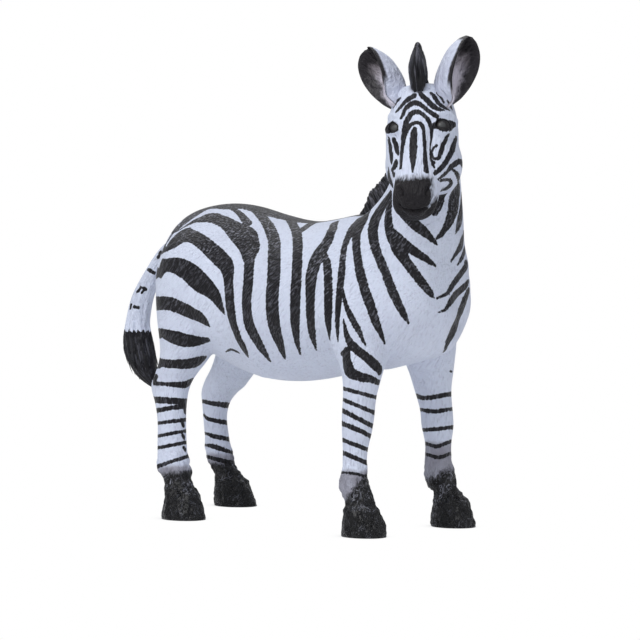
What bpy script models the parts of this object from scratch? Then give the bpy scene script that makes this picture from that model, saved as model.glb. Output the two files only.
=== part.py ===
"""A standing toy zebra: a solid moulded figure put together from eleven mouldings.

The trunk carries the neck, the four legs and the tail, each on a plug seated in a socket. The neck carries
the head, the head carries two ears, and an upright mane is let into a groove along the crest of the neck.
+X runs forward to the chest, +Y to the animal's own left, +Z up, and the soles of the hooves stand on z = 0.
"""

import math

import bmesh
import bpy
import numpy as np
from mathutils import Matrix, Vector

# Overall size of the figure
LENGTH = 0.0989  # tuft of the tail to the side of the turned head
WIDTH = 0.0336  # outer side of one stance to the other
HEIGHT = 0.0901  # sole to ear tip

# Sizes of the parts that are drawn in their own frames
HEAD_LENGTH = 0.025  # poll to lips
EAR_LENGTH = 0.0123  # root to tip
MANE_THICKNESS = 0.0028
TAIL_THICKNESS = 0.0050

# Joints
GAP = 0.0003  # air between two pieces that meet
LEG_PLUG_RADIUS = 0.0019
LEG_PLUG_DEPTH = 0.0060
LEG_SPACE_MARGIN = 0.0008  # how far the cut at the top of a leg reaches past it
NECK_PLUG_RADIUS = 0.0042
NECK_PLUG_DEPTH = 0.0070
HEAD_PLUG_RADIUS = 0.0026
HEAD_PLUG_DEPTH = 0.0050
MANE_ROOT = 0.0016  # how far the mane sinks into the crest

# Surface
GRID = 0.0007  # spacing of the grid on which the flesh is joined
SMOOTH_STEPS = 7
SPARE = 0.0012  # modelled past each flat cut, then cut off

# Facets that each moulding keeps
TRUNK_FACETS, NECK_FACETS, HEAD_FACETS, LEG_FACETS = 3600, 900, 2000, 620

# The tables below hold shares in small units. Each overall size is divided into this many of them.
LENGTH_SHARES, WIDTH_SHARES, HEIGHT_SHARES, HEAD_LENGTH_SHARES = 98.9, 33.6, 90.1, 25.0
X_UNIT = LENGTH / LENGTH_SHARES
Y_UNIT = WIDTH / WIDTH_SHARES
Z_UNIT = HEIGHT / HEIGHT_SHARES
HEAD_UNIT = HEAD_LENGTH / HEAD_LENGTH_SHARES

# Where the legs are parted from the trunk, in shares of the height
FORE_CUT_SHARES = 28.8  # the elbow, where a foreleg plugs in
HIND_CUT_SHARES = 27.2  # above the hock, where a hind leg plugs in

# Trunk: station along x, top, bottom, half width
TRUNK_SHARES = (
    (-34.6, 49.0, 42.0, 3.5),
    (-33.4, 52.6, 38.0, 5.9),
    (-30.5, 56.0, 34.5, 8.8),
    (-25.5, 58.3, 32.0, 13.2),
    (-19.0, 59.3, 31.0, 14.8),
    (-13.0, 59.0, 28.3, 14.8),
    (-6.5, 57.7, 26.5, 15.0),
    (0.0, 56.6, 26.2, 15.6),
    (6.0, 56.3, 26.8, 15.7),
    (12.0, 57.0, 28.3, 15.1),
    (18.0, 57.9, 29.6, 14.4),
    (24.0, 57.4, 30.1, 13.7),
    (30.0, 54.5, 31.4, 12.1),
    (34.8, 51.5, 34.2, 9.5),
    (38.1, 48.5, 37.6, 6.1),
    (39.3, 46.0, 40.3, 3.2),
)
TRUNK_TAPER_SHARE = 0.14  # how much narrower the back is than the barrel's middle

# Neck: centre x, y, z, half depth, half width, lean of the section back from level, turn to the right
NECK_SHARES = (
    (22.5, 0.0, 46.0, 14.5, 10.5, 28.0, 0.0),
    (27.0, 0.0, 50.5, 13.0, 10.2, 25.0, 0.0),
    (30.8, -0.3, 56.0, 10.0, 8.0, 18.0, 5.0),
    (33.6, -0.9, 61.5, 8.1, 6.3, 16.0, 14.0),
    (35.2, -2.1, 67.5, 7.0, 5.7, 14.0, 24.0),
    (36.3, -3.7, 72.0, 6.4, 5.5, 12.0, 36.0),
    (37.1, -5.3, 75.5, 5.5, 5.0, 12.0, 46.0),
)

# Legs: height, centre x, centre |y|, depth fore and aft, width across
RIGHT_FORE_SHARES = (
    (55.0, 17.0, 4.5, 12.0, 8.0),
    (48.0, 19.5, 7.0, 18.0, 13.0),
    (40.0, 22.8, 8.4, 17.0, 13.0),
    (34.0, 26.0, 10.0, 11.0, 9.6),
    (29.0, 27.6, 11.0, 7.6, 7.0),
    (25.0, 27.2, 11.2, 6.4, 5.9),
    (21.5, 27.0, 11.4, 6.3, 5.7),
    (18.5, 26.8, 11.5, 5.7, 5.3),
    (15.5, 26.6, 11.7, 4.8, 4.5),
    (12.5, 26.5, 11.8, 4.8, 4.4),
    (10.4, 26.6, 12.0, 5.9, 5.0),
    (8.2, 27.1, 12.1, 5.8, 5.0),
    (6.4, 28.1, 12.2, 5.0, 4.6),
    (5.0, 28.9, 12.3, 6.6, 5.8),
    (2.0, 29.4, 12.4, 8.6, 7.0),
    (0.0, 29.6, 12.5, 9.2, 7.4),
)
LEFT_FORE_SHARES = (
    (55.0, 17.0, 4.5, 12.0, 8.0),
    (48.0, 19.0, 7.0, 18.0, 13.0),
    (40.0, 21.4, 8.4, 17.0, 13.0),
    (34.0, 23.2, 9.6, 11.2, 10.6),
    (29.0, 23.7, 10.6, 8.6, 8.2),
    (25.0, 23.9, 11.1, 7.2, 6.5),
    (21.5, 24.5, 11.4, 6.4, 5.8),
    (18.5, 24.7, 11.5, 6.4, 5.7),
    (15.5, 24.7, 11.7, 5.2, 4.8),
    (12.5, 24.6, 11.8, 5.2, 4.7),
    (9.8, 24.6, 12.0, 6.1, 5.2),
    (7.6, 25.3, 12.1, 5.7, 5.0),
    (6.2, 26.5, 12.2, 4.9, 4.6),
    (5.0, 27.3, 12.3, 6.7, 5.9),
    (2.0, 27.7, 12.4, 8.6, 7.0),
    (0.0, 27.9, 12.5, 9.2, 7.4),
)
RIGHT_HIND_SHARES = (
    (56.5, -18.6, 4.0, 14.2, 8.0),
    (51.0, -17.9, 6.8, 19.8, 14.0),
    (44.0, -19.0, 7.8, 19.8, 14.5),
    (38.0, -19.9, 9.0, 15.4, 12.4),
    (33.5, -20.0, 10.0, 12.0, 10.2),
    (30.0, -21.0, 10.4, 10.0, 8.7),
    (27.0, -22.8, 10.9, 8.8, 7.2),
    (24.6, -23.9, 11.3, 8.6, 6.4),
    (21.5, -23.3, 11.7, 6.8, 5.5),
    (18.0, -22.7, 12.0, 5.9, 5.2),
    (13.5, -22.2, 12.4, 6.1, 5.3),
    (10.5, -21.5, 12.7, 6.7, 5.5),
    (8.5, -20.8, 12.9, 6.8, 5.4),
    (6.5, -19.5, 13.1, 5.3, 4.8),
    (5.0, -18.3, 13.4, 6.4, 5.7),
    (2.0, -17.6, 13.7, 8.8, 7.2),
    (0.0, -17.3, 13.9, 9.4, 7.6),
)
LEFT_HIND_SHARES = (
    (56.5, -19.1, 4.0, 14.2, 8.0),
    (51.0, -18.9, 6.8, 19.8, 14.0),
    (44.0, -20.4, 7.8, 19.8, 14.5),
    (38.0, -22.8, 9.0, 16.0, 12.4),
    (33.5, -25.0, 10.0, 12.8, 10.2),
    (30.0, -27.3, 10.3, 11.2, 8.9),
    (27.0, -29.8, 10.6, 10.2, 7.6),
    (24.5, -32.4, 10.8, 9.6, 6.6),
    (22.0, -34.4, 10.9, 8.4, 5.8),
    (20.0, -35.4, 11.0, 6.2, 5.0),
    (17.0, -35.7, 11.0, 5.0, 4.5),
    (13.0, -35.2, 11.1, 5.2, 4.7),
    (10.5, -34.9, 11.2, 5.7, 4.9),
    (8.8, -34.5, 11.2, 5.8, 4.8),
    (6.8, -32.9, 11.3, 5.0, 4.6),
    (5.0, -31.6, 11.5, 6.5, 5.7),
    (2.0, -30.9, 11.7, 8.8, 7.2),
    (0.0, -30.6, 11.8, 9.4, 7.6),
)
LEG_SHARES = {
    "right_foreleg": (RIGHT_FORE_SHARES, -1, FORE_CUT_SHARES),
    "left_foreleg": (LEFT_FORE_SHARES, 1, FORE_CUT_SHARES),
    "right_hind_leg": (RIGHT_HIND_SHARES, -1, HIND_CUT_SHARES),
    "left_hind_leg": (LEFT_HIND_SHARES, 1, HIND_CUT_SHARES),
}

# Head, in its own frame: distance from the poll down the face, face line, underside, half width, width of the
# face as a share of that
HEAD_SHARES = (
    (-2.6, -3.6, -8.6, 3.2, 0.90),
    (-1.2, -1.6, -10.8, 4.8, 0.85),
    (1.5, -0.1, -12.4, 5.9, 0.78),
    (5.0, 0.5, -13.2, 6.5, 0.72),
    (8.5, 0.2, -13.6, 6.5, 0.62),
    (12.0, -0.2, -13.2, 6.1, 0.52),
    (15.2, -0.4, -11.4, 5.0, 0.58),
    (18.0, -0.5, -9.2, 4.1, 0.76),
    (20.4, -0.3, -8.2, 4.1, 0.86),
    (22.3, -0.7, -7.6, 3.9, 0.90),
    (23.5, -1.9, -6.8, 2.9, 0.90),
    (24.0, -3.2, -5.6, 1.3, 0.90),
)
POLL_SHARES = (39.0, -8.6, 80.8)
WITHERS_SHARES = (17.0, 0.0, 58.5)  # the two ends of the joint between the neck and the trunk
CHEST_SHARES = (39.0, 0.0, 48.0)
NAPE_SHARES = (-14.0, -5.8)  # top of the neck joint: ahead of the poll, above it
THROAT_SHARES = (0.4, -21.8)  # foot of the neck joint
HEAD_TURN = math.radians(-57)
HEAD_DIP = math.radians(60)
HEAD_ROLL = math.radians(3.3)
EYE_SHARES = (7.4, 4.9, -2.9, 1.5)  # down the face, out, in from the face line, radius of the bulge
JAW_SHARES = (10.6, 3.1, -9.2, 5.2)  # the same for the jowl

# Ears: along the ear, half width, half the wall, how far the rims stand ahead of the back, turn of the section in
# degrees, shift outwards, pull towards the middle of the head; all but the turn as shares of the ear's length
EAR_SHARES = (
    (-0.16, 0.135, 0.105, 0.03, 38, 0.000, 0.09),
    (0.00, 0.180, 0.125, 0.17, 26, -0.034, 0.02),
    (0.12, 0.220, 0.108, 0.26, 9, -0.072, 0.00),
    (0.30, 0.263, 0.090, 0.35, -3, -0.062, 0.00),
    (0.52, 0.272, 0.070, 0.39, -9, -0.033, 0.00),
    (0.74, 0.208, 0.062, 0.38, -17, -0.003, 0.00),
    (0.90, 0.122, 0.052, 0.23, -20, 0.032, 0.00),
    (0.98, 0.040, 0.035, 0.04, -14, 0.065, 0.00),
)
# Each ear: side, root on the head (down the face, out, in), outward lean, backward lean, turn of the cup
EAR_ROOT_SHARES = {"right_ear": (0.3, 5.0, -3.7), "left_ear": (0.7, 5.0, -3.9)}
EAR_LEANS = {
    "right_ear": (-1, math.radians(27.7), math.radians(21.6), math.radians(50.3)),
    "left_ear": (1, math.radians(13.9), math.radians(5.5), math.radians(68.8)),
}

# Mane: root on the crest x, y, z, height of the hair, direction of growth x, y, z
MANE_SHARES = (
    (15.5, 0.0, 57.0, 0.8, -0.2, 0.0, 1.0),
    (18.0, 0.0, 57.7, 2.2, -0.4, 0.0, 0.9),
    (20.8, 0.2, 58.8, 4.0, -0.6, 0.0, 0.8),
    (23.8, 0.5, 60.8, 4.3, -0.7, 0.0, 0.7),
    (26.3, 0.8, 64.0, 4.4, -0.8, 0.1, 0.6),
    (28.7, 0.9, 68.6, 4.6, -0.8, 0.2, 0.55),
    (31.0, 0.3, 73.0, 5.0, -0.7, 0.2, 0.7),
    (33.3, -1.3, 76.8, 5.8, -0.5, 0.2, 0.85),
    (35.6, -4.2, 79.6, 7.2, -0.2, 0.1, 1.0),
    (37.6, -6.8, 80.6, 8.3, 0.05, -0.05, 1.0),
    (38.9, -8.5, 80.3, 6.6, 0.2, -0.3, 1.0),
    (39.7, -9.6, 79.3, 3.0, 0.35, -0.5, 0.9),
)

# Tail: x, y, z, thickness as a share of the tail's
TAIL_SHARES = (
    (-31.0, 0.3, 49.6, 0.62),
    (-34.6, 0.5, 50.6, 0.62),
    (-38.0, 0.9, 49.8, 0.60),
    (-41.4, 1.4, 47.2, 0.64),
    (-44.7, 1.8, 43.4, 0.76),
    (-47.0, 2.0, 39.8, 0.90),
    (-48.3, 2.1, 35.8, 1.00),
    (-48.3, 2.1, 31.6, 1.18),
    (-47.0, 2.1, 27.6, 1.10),
    (-45.2, 2.0, 24.8, 0.66),
    (-43.8, 2.0, 23.2, 0.20),
)

# Directions of the figure
FORE, LEFT, UP = Vector((1, 0, 0)), Vector((0, 1, 0)), Vector((0, 0, 1))

# Colour and roughness of the white vinyl and of the dark paint
WHITE = ((0.78, 0.80, 0.88, 1.0), 0.42)
DARK = ((0.030, 0.028, 0.028, 1.0), 0.48)
MATERIALS = {
    "trunk": WHITE, "neck": WHITE, "head": WHITE, "left_ear": WHITE, "right_ear": WHITE, "mane": DARK,
    "right_foreleg": WHITE, "left_foreleg": WHITE, "right_hind_leg": WHITE, "left_hind_leg": WHITE,
    "tail": WHITE,
}


def clear_scene():
    """Removes every object that the scene holds."""
    for obj in list(bpy.data.objects):
        bpy.data.objects.remove(obj, do_unlink=True)


def place(x, y, z):
    """A point of the figure from its shares."""
    return Vector((x * X_UNIT, y * Y_UNIT, z * Z_UNIT))


def spread(rows, per_span):
    """The rows of a table with smooth rows put in between them."""
    rows = [np.array(row, float) for row in rows]
    ends = [2 * rows[0] - rows[1]] + rows + [2 * rows[-1] - rows[-2]]
    out = []
    for i in range(1, len(ends) - 2):
        a, b, c, d = ends[i - 1 : i + 3]
        for k in range(per_span):
            t = k / per_span
            square, cube = 2 * a - 5 * b + 4 * c - d, 3 * b - a - 3 * c + d
            out.append((2 * b + (c - a) * t + square * t**2 + cube * t**3) / 2)
    out.append(rows[-1])
    return out


def loft(bm, rings):
    """Skins a row of rings of equal count and closes both ends."""
    loops = [[bm.verts.new(p) for p in ring] for ring in rings]
    count = len(loops[0])
    for low, high in zip(loops, loops[1:]):
        for i in range(count):
            j = (i + 1) % count
            bm.faces.new((low[i], low[j], high[j], high[i]))
    for loop in (loops[0], loops[-1]):
        hub = bm.verts.new(sum((v.co for v in loop), Vector()) / count)
        for i in range(count):
            bm.faces.new((loop[i], loop[(i + 1) % count], hub))


def oval(centre, u, v, half_u, half_v, count=28, taper=0.0):
    """A ring of points round a centre; taper narrows it across v towards +u."""
    points = []
    for i in range(count):
        angle = 2 * math.pi * i / count
        c, s = math.cos(angle), math.sin(angle)
        points.append(centre + u * (half_u * c) + v * (half_v * s * (1 - taper * c)))
    return points


def trunk_rings():
    """Sections of the barrel from the rump to the point of the chest."""
    rings = []
    for x, top, bottom, half in spread(TRUNK_SHARES, 3):
        centre = place(x, 0, (top + bottom) / 2)
        rings.append(
            oval(centre, UP, LEFT, (top - bottom) / 2 * Z_UNIT, half * Y_UNIT, 36, TRUNK_TAPER_SHARE)
        )
    return rings


def neck_rings():
    """Sections of the neck, leaning and turning on the way up."""
    rings = []
    for x, y, z, depth, half, lean, turn in spread(NECK_SHARES, 4):
        turned = Matrix.Rotation(math.radians(-turn), 3, "Z") @ Matrix.Rotation(math.radians(lean), 3, "Y")
        rings.append(
            oval(place(x, y, z), turned @ FORE, turned @ LEFT, depth * X_UNIT, half * Y_UNIT)
        )
    return rings


def leg_rings(shares, side):
    """Sections of a leg from inside the body down past the sole."""
    rings = []
    rows = spread(shares, 3)
    for z, x, y, depth, width in rows:
        rings.append(
            oval(place(x, side * y, z), FORE, LEFT, depth / 2 * X_UNIT, width / 2 * Y_UNIT, 24)
        )
    rings.append([p - Vector((0, 0, SPARE)) for p in rings[-1]])
    return rings


def head_frame():
    """The matrix from the head's own axes (down the face, to the left, out of the face) to the figure."""
    turn = Matrix.Rotation(HEAD_TURN, 3, "Z")
    dip = Matrix.Rotation(HEAD_DIP, 3, "Y")
    roll = Matrix.Rotation(HEAD_ROLL, 3, turn @ Vector((1, 0, 0)))
    return Matrix.Translation(place(*POLL_SHARES)) @ (roll @ turn @ dip).to_4x4()


def head_rings(frame):
    """Sections of the head, broad across the brow and narrow towards the muzzle."""
    rings = []
    for down, face, under, half, flat in spread(HEAD_SHARES, 3):
        middle, reach = (face + under) / 2, (face - under) / 2
        ring = []
        for i in range(32):
            angle = 2 * math.pi * i / 32
            c, s = math.cos(angle), math.sin(angle)
            wide = half * (1 - (1 - flat) * max(c, 0) ** 2)
            s = math.copysign(abs(s) ** 0.9, s)
            ring.append(frame @ (Vector((down, wide * s, middle + reach * c)) * HEAD_UNIT))
        rings.append(ring)
    return rings


def ball(bm, matrix, radii, count=2):
    """Adds an ellipsoid."""
    scale = Matrix.Diagonal((*radii, 1))
    bmesh.ops.create_icosphere(bm, subdivisions=count, radius=1, matrix=matrix @ scale)


def build_flesh():
    """One closed skin over the trunk, the neck, the head and the legs."""
    bm = bmesh.new()
    loft(bm, trunk_rings())
    loft(bm, neck_rings())
    for shares, side, _ in LEG_SHARES.values():
        loft(bm, leg_rings(shares, side))
    frame = head_frame()
    loft(bm, head_rings(frame))
    down, out, deep, radius = EYE_SHARES
    for side in (-1, 1):
        spot = Matrix.Translation(Vector((down, side * out, deep)) * HEAD_UNIT)
        ball(bm, frame @ spot, [s * radius * HEAD_UNIT for s in (1.25, 0.75, 0.9)])
        jaw = Matrix.Translation(Vector((JAW_SHARES[0], side * JAW_SHARES[1], JAW_SHARES[2])) * HEAD_UNIT)
        ball(bm, frame @ jaw, [s * JAW_SHARES[3] * HEAD_UNIT for s in (1.1, 0.75, 1.0)])
    bmesh.ops.recalc_face_normals(bm, faces=bm.faces)
    flesh = to_object("flesh", bm)
    remesh = flesh.modifiers.new("join", "REMESH")
    remesh.mode = "VOXEL"
    remesh.voxel_size = GRID
    remesh.adaptivity = 0
    smooth = flesh.modifiers.new("smooth", "SMOOTH")
    smooth.factor = 0.5
    smooth.iterations = SMOOTH_STEPS
    bake(flesh)
    return flesh


def to_object(name, bm):
    """A scene object from a finished bmesh."""
    mesh = bpy.data.meshes.new(name)
    bm.to_mesh(mesh)
    bm.free()
    obj = bpy.data.objects.new(name, mesh)
    bpy.context.scene.collection.objects.link(obj)
    return obj


def bake(obj):
    """Puts the result of an object's modifiers into its mesh."""
    bpy.context.view_layer.update()
    graph = bpy.context.evaluated_depsgraph_get()
    mesh = bpy.data.meshes.new_from_object(obj.evaluated_get(graph))
    obj.modifiers.clear()
    old = obj.data
    obj.data = mesh
    bpy.data.meshes.remove(old)


def thin(obj, facets):
    """Reduces an object to about this many triangles."""
    now = sum(len(p.vertices) - 2 for p in obj.data.polygons)
    if now <= facets:
        return
    less = obj.modifiers.new("thin", "DECIMATE")
    less.ratio = facets / now
    less.use_collapse_triangulate = True
    bake(obj)


def copy_of(obj, name):
    """A second object with its own mesh."""
    twin = obj.copy()
    twin.data = obj.data.copy()
    twin.name = name
    bpy.context.scene.collection.objects.link(twin)
    return twin


def keep_side(obj, point, normal):
    """Cuts an object by a plane, keeps the side that the normal points to, and closes the cut."""
    bm = bmesh.new()
    bm.from_mesh(obj.data)
    geometry = bm.verts[:] + bm.edges[:] + bm.faces[:]
    cut = bmesh.ops.bisect_plane(
        bm, geom=geometry, plane_co=point, plane_no=normal, clear_inner=True, dist=GAP / 1000
    )
    rim = [g for g in cut["geom_cut"] if isinstance(g, bmesh.types.BMEdge)]
    bmesh.ops.triangle_fill(bm, use_beauty=True, use_dissolve=False, edges=rim, normal=-Vector(normal))
    bmesh.ops.recalc_face_normals(bm, faces=bm.faces)
    bm.to_mesh(obj.data)
    bm.free()


def keep_island(obj, test):
    """Keeps the loose part whose middle passes the test."""
    bm = bmesh.new()
    bm.from_mesh(obj.data)
    left = set(bm.verts)
    while left:
        seed = left.pop()
        found, queue = [seed], [seed]
        while queue:
            for edge in queue.pop().link_edges:
                for vert in edge.verts:
                    if vert in left:
                        left.remove(vert)
                        found.append(vert)
                        queue.append(vert)
        middle = sum((v.co for v in found), Vector()) / len(found)
        if not test(middle):
            bmesh.ops.delete(bm, geom=found, context="VERTS")
    bm.to_mesh(obj.data)
    bm.free()


def hidden(obj):
    """Marks a helper that only cuts."""
    obj.hide_render = True
    obj.display_type = "WIRE"
    return obj


def combine(obj, other, operation):
    """Applies one exact Boolean and drops the other object."""
    step = obj.modifiers.new(operation.lower(), "BOOLEAN")
    step.operation = operation
    step.solver = "EXACT"
    step.object = hidden(other)
    bake(obj)
    bpy.data.objects.remove(other, do_unlink=True)


def block(name, low, high):
    """A box between two corners."""
    bm = bmesh.new()
    bmesh.ops.create_cube(bm, size=1)
    for vert in bm.verts:
        vert.co = Vector(h if c > 0 else l for c, l, h in zip(vert.co, low, high))
    return to_object(name, bm)


def rod(name, start, end, radius):
    """A round bar from one point to another, its end eased."""
    axis = (end - start).normalized()
    side = axis.orthogonal().normalized()
    other = axis.cross(side)
    ease = radius / 4
    bm = bmesh.new()
    rings = [(start, radius), (end - axis * ease, radius), (end, radius - ease)]
    loft(bm, [oval(centre, side, other, size, size, 20) for centre, size in rings])
    bmesh.ops.recalc_face_normals(bm, faces=bm.faces)
    return to_object(name, bm)


def plug(child, parent, seat, axis, radius, depth):
    """Gives the child a plug along the axis from its seat, and the parent the socket that takes it."""
    foot = seat - axis * (1.2 * radius)
    combine(child, rod("plug", foot, seat + axis * depth, radius), "UNION")
    combine(parent, rod("socket", foot, seat + axis * (depth + GAP), radius + GAP), "DIFFERENCE")


def leg_section(shares, side, height):
    """The middle of a leg where its cut crosses it, and its depth and width there."""
    _, x, y, depth, width = min(spread(shares, 6), key=lambda row: abs(row[0] * Z_UNIT - height))
    return Vector((x * X_UNIT, side * y * Y_UNIT, height)), depth * X_UNIT, width * Y_UNIT


def build_legs(flesh, trunk):
    """Cuts the four legs off the trunk and plugs each back in."""
    for name, (shares, side, cut) in LEG_SHARES.items():
        height = cut * Z_UNIT
        seat, depth, width = leg_section(shares, side, height)
        leg = copy_of(flesh, name)
        keep_side(leg, seat + UP * (SPARE - GAP / 2), -UP)
        keep_island(leg, lambda m: m.y * side > WIDTH / 9 and m.x * seat.x > 0 and m.z < height * 0.9)
        keep_side(leg, -UP * SPARE / 2, UP)
        thin(leg, LEG_FACETS)
        keep_side(leg, seat - UP * GAP / 2, -UP)
        keep_side(leg, Vector(), UP)
        reach = Vector((depth / 2 + LEG_SPACE_MARGIN, width / 2 + LEG_SPACE_MARGIN, 0))
        space = block("leg_space", seat - reach - UP * SPARE, seat + reach + UP * GAP / 2)
        combine(trunk, space, "DIFFERENCE")
        keep_island(trunk, lambda m: m.z > height)
        above, _, _ = leg_section(shares, side, height + LEG_PLUG_DEPTH)
        plug(leg, trunk, seat, (above - seat).normalized(), LEG_PLUG_RADIUS, LEG_PLUG_DEPTH)


def ear_rings(frame, name, grow):
    """Sections of a cupped ear from its root inside the head to its tip."""
    side, lean, back, cup = EAR_LEANS[name]
    down, out, deep = EAR_ROOT_SHARES[name]
    root = frame @ (Vector((down, side * out, deep)) * HEAD_UNIT)
    turn = Matrix.Rotation(HEAD_TURN, 3, "Z")
    stand = turn @ Matrix.Rotation(-side * lean, 3, "X") @ Matrix.Rotation(-back, 3, "Y")
    facing = stand @ Matrix.Rotation(side * cup, 3, "Z")
    along_ear, inward = facing @ UP, frame.to_3x3() @ LEFT * -side
    rings = []
    for along, half, wall, curl, twist, shift, pull in spread(EAR_SHARES, 2):
        turned = Matrix.Rotation(side * math.radians(twist), 3, along_ear) @ facing
        across, ahead = turned @ LEFT, turned @ FORE
        centre = root + (along_ear * along + across * (side * shift) + inward * pull) * EAR_LENGTH
        ring = []
        for i in range(16):
            angle = 2 * math.pi * i / 16
            c, s = math.cos(angle), math.sin(angle)
            depth = wall * c + curl * (s * s - 0.5)
            ring.append(
                centre + across * (half * s * EAR_LENGTH + math.copysign(grow, s) * abs(s))
                + ahead * (depth * EAR_LENGTH + grow * c)
            )
        rings.append(ring)
    return rings


def build_ear(name, frame, head):
    """An ear seated in its socket in the head."""
    for grow in (GAP, 0.0):
        bm = bmesh.new()
        rings = ear_rings(frame, name, grow)
        if grow:
            first = sum(rings[0], Vector()) / len(rings[0])
            last = sum(rings[1], Vector()) / len(rings[1])
            rings.insert(0, [p + (first - last).normalized() * GAP for p in rings[0]])
        loft(bm, rings)
        bmesh.ops.recalc_face_normals(bm, faces=bm.faces)
        ear = to_object(name if not grow else "ear_socket", bm)
        if grow:
            combine(head, ear, "DIFFERENCE")
    return ear


def mane_rings(grow):
    """Sections of the mane from the withers to the forelock."""
    rings = []
    rows = spread(MANE_SHARES, 3)
    points = [place(*row[:3]) for row in rows]
    for i, row in enumerate(rows):
        ahead = (points[min(i + 1, len(rows) - 1)] - points[max(i - 1, 0)]).normalized()
        grows = Vector(row[4:7]).normalized()
        across = ahead.cross(grows).normalized()
        tall = row[3] * Z_UNIT
        thick = MANE_THICKNESS / 2
        low = -MANE_ROOT - grow
        high = tall + grow
        middle, reach = (high + low) / 2, (high - low) / 2
        ring = []
        for k in range(12):
            angle = 2 * math.pi * k / 12
            c, s = math.cos(angle), math.sin(angle)
            narrow = 1 - 0.35 * max(c, 0)
            ring.append(
                points[i] + grows * (middle + reach * math.copysign(abs(c) ** 0.6, c))
                + across * ((thick + grow) * narrow * math.copysign(abs(s) ** 0.7, s))
            )
        rings.append(ring)
    if grow:
        ahead = (points[0] - points[1]).normalized() * GAP
        rings.insert(0, [p + ahead for p in rings[0]])
        ahead = (points[-1] - points[-2]).normalized() * GAP
        rings.append([p + ahead for p in rings[-1]])
    return rings


def tail_rings(grow):
    """Sections of the tail from inside the rump to the tip of the tuft."""
    rows = spread(TAIL_SHARES, 3)
    points = [place(*row[:3]) for row in rows]
    rings = []
    for i, row in enumerate(rows):
        ahead = (points[min(i + 1, len(rows) - 1)] - points[max(i - 1, 0)]).normalized()
        across = LEFT
        over = across.cross(ahead).normalized()
        half = row[3] * TAIL_THICKNESS / 2
        rings.append(oval(points[i], over, across, half + grow, half * 0.9 + grow, 12))
    if grow:
        ahead = (points[0] - points[1]).normalized() * GAP
        rings.insert(0, [p + ahead for p in rings[0]])
    return rings


def build_lofted(name, rings_of, parents):
    """A piece let into its parents by a groove that follows it."""
    piece = None
    for grow in [GAP] * len(parents) + [0.0]:
        bm = bmesh.new()
        loft(bm, rings_of(grow))
        bmesh.ops.recalc_face_normals(bm, faces=bm.faces)
        piece = to_object(name if not grow else "groove", bm)
        if grow:
            combine(parents.pop(), piece, "DIFFERENCE")
    return piece


def build_figure():
    """Models the skin once, parts it into mouldings, and adds the ears, the mane and the tail."""
    frame = head_frame()
    flesh = build_flesh()

    withers, chest = place(*WITHERS_SHARES), place(*CHEST_SHARES)
    base = (withers + chest) / 2
    rise = LEFT.cross(withers - chest).normalized()
    facing = Matrix.Rotation(HEAD_TURN, 3, "Z") @ FORE
    poll = place(*POLL_SHARES)
    nape = poll + facing * (NAPE_SHARES[0] * X_UNIT) + UP * (NAPE_SHARES[1] * Z_UNIT)
    throat = poll + facing * (THROAT_SHARES[0] * X_UNIT) + UP * (THROAT_SHARES[1] * Z_UNIT)
    onward = facing.cross(UP).cross(nape - throat).normalized()
    onward = onward if onward.z > 0 else -onward
    joint = (nape + throat) / 2

    trunk = copy_of(flesh, "trunk")
    keep_side(trunk, base + rise * SPARE, -rise)
    thin(trunk, TRUNK_FACETS)
    keep_side(trunk, base - rise * GAP / 2, -rise)
    neck = copy_of(flesh, "neck")
    keep_side(neck, base - rise * SPARE, rise)
    keep_side(neck, joint + onward * SPARE, -onward)
    thin(neck, NECK_FACETS)
    keep_side(neck, base + rise * GAP / 2, rise)
    keep_side(neck, joint - onward * GAP / 2, -onward)
    head = copy_of(flesh, "head")
    keep_side(head, base, rise)
    keep_side(head, joint - onward * SPARE, onward)
    thin(head, HEAD_FACETS)
    keep_side(head, joint + onward * GAP / 2, onward)

    build_legs(flesh, trunk)
    plug(neck, trunk, base, -rise, NECK_PLUG_RADIUS, NECK_PLUG_DEPTH)
    plug(head, neck, joint, -onward, HEAD_PLUG_RADIUS, HEAD_PLUG_DEPTH)
    ears = [build_ear(name, frame, head) for name in EAR_LEANS]
    mane = build_lofted("mane", mane_rings, [trunk, neck, head])
    tail = build_lofted("tail", tail_rings, [trunk])
    bpy.data.objects.remove(flesh, do_unlink=True)
    legs = [bpy.data.objects[name] for name in LEG_SHARES]
    return [trunk, neck, head, *ears, mane, *legs, tail]


def centre(pieces):
    """Moves the figure so that its bounds are centred on x = y = 0, with the soles on z = 0."""
    corners = np.array([v.co for piece in pieces for v in piece.data.vertices])
    low, high = corners.min(axis=0), corners.max(axis=0)
    shift = Vector((-(low[0] + high[0]) / 2, -(low[1] + high[1]) / 2, -low[2]))
    for piece in pieces:
        piece.data.transform(Matrix.Translation(shift))
    return shift


def finish(piece):
    """Names a piece's mesh, shades it and gives it its material."""
    piece.data.name = piece.name
    piece.data.shade_smooth()
    piece.data.set_sharp_from_angle(angle=math.radians(40))
    colour, roughness = MATERIALS[piece.name]
    material = bpy.data.materials.new(piece.name)
    material.use_nodes = True
    shader = material.node_tree.nodes["Principled BSDF"]
    shader.inputs["Base Color"].default_value = colour
    shader.inputs["Roughness"].default_value = roughness
    shader.inputs["Metallic"].default_value = 0.0
    material.diffuse_color = colour
    piece.data.materials.clear()
    piece.data.materials.append(material)


clear_scene()
figure = build_figure()
shift_used = centre(figure)
for part_piece in figure:
    finish(part_piece)
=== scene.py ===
"""The finished toy zebra: moulded skin, painted coat, hair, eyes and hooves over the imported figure."""

import itertools
import logging
import math
from dataclasses import dataclass, field
from enum import Enum
from typing import Any, Iterator, Sequence

import bmesh
import bpy
import numpy as np
from mathutils import Matrix, Vector, noise
from mathutils.bvhtree import BVHTree


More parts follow.
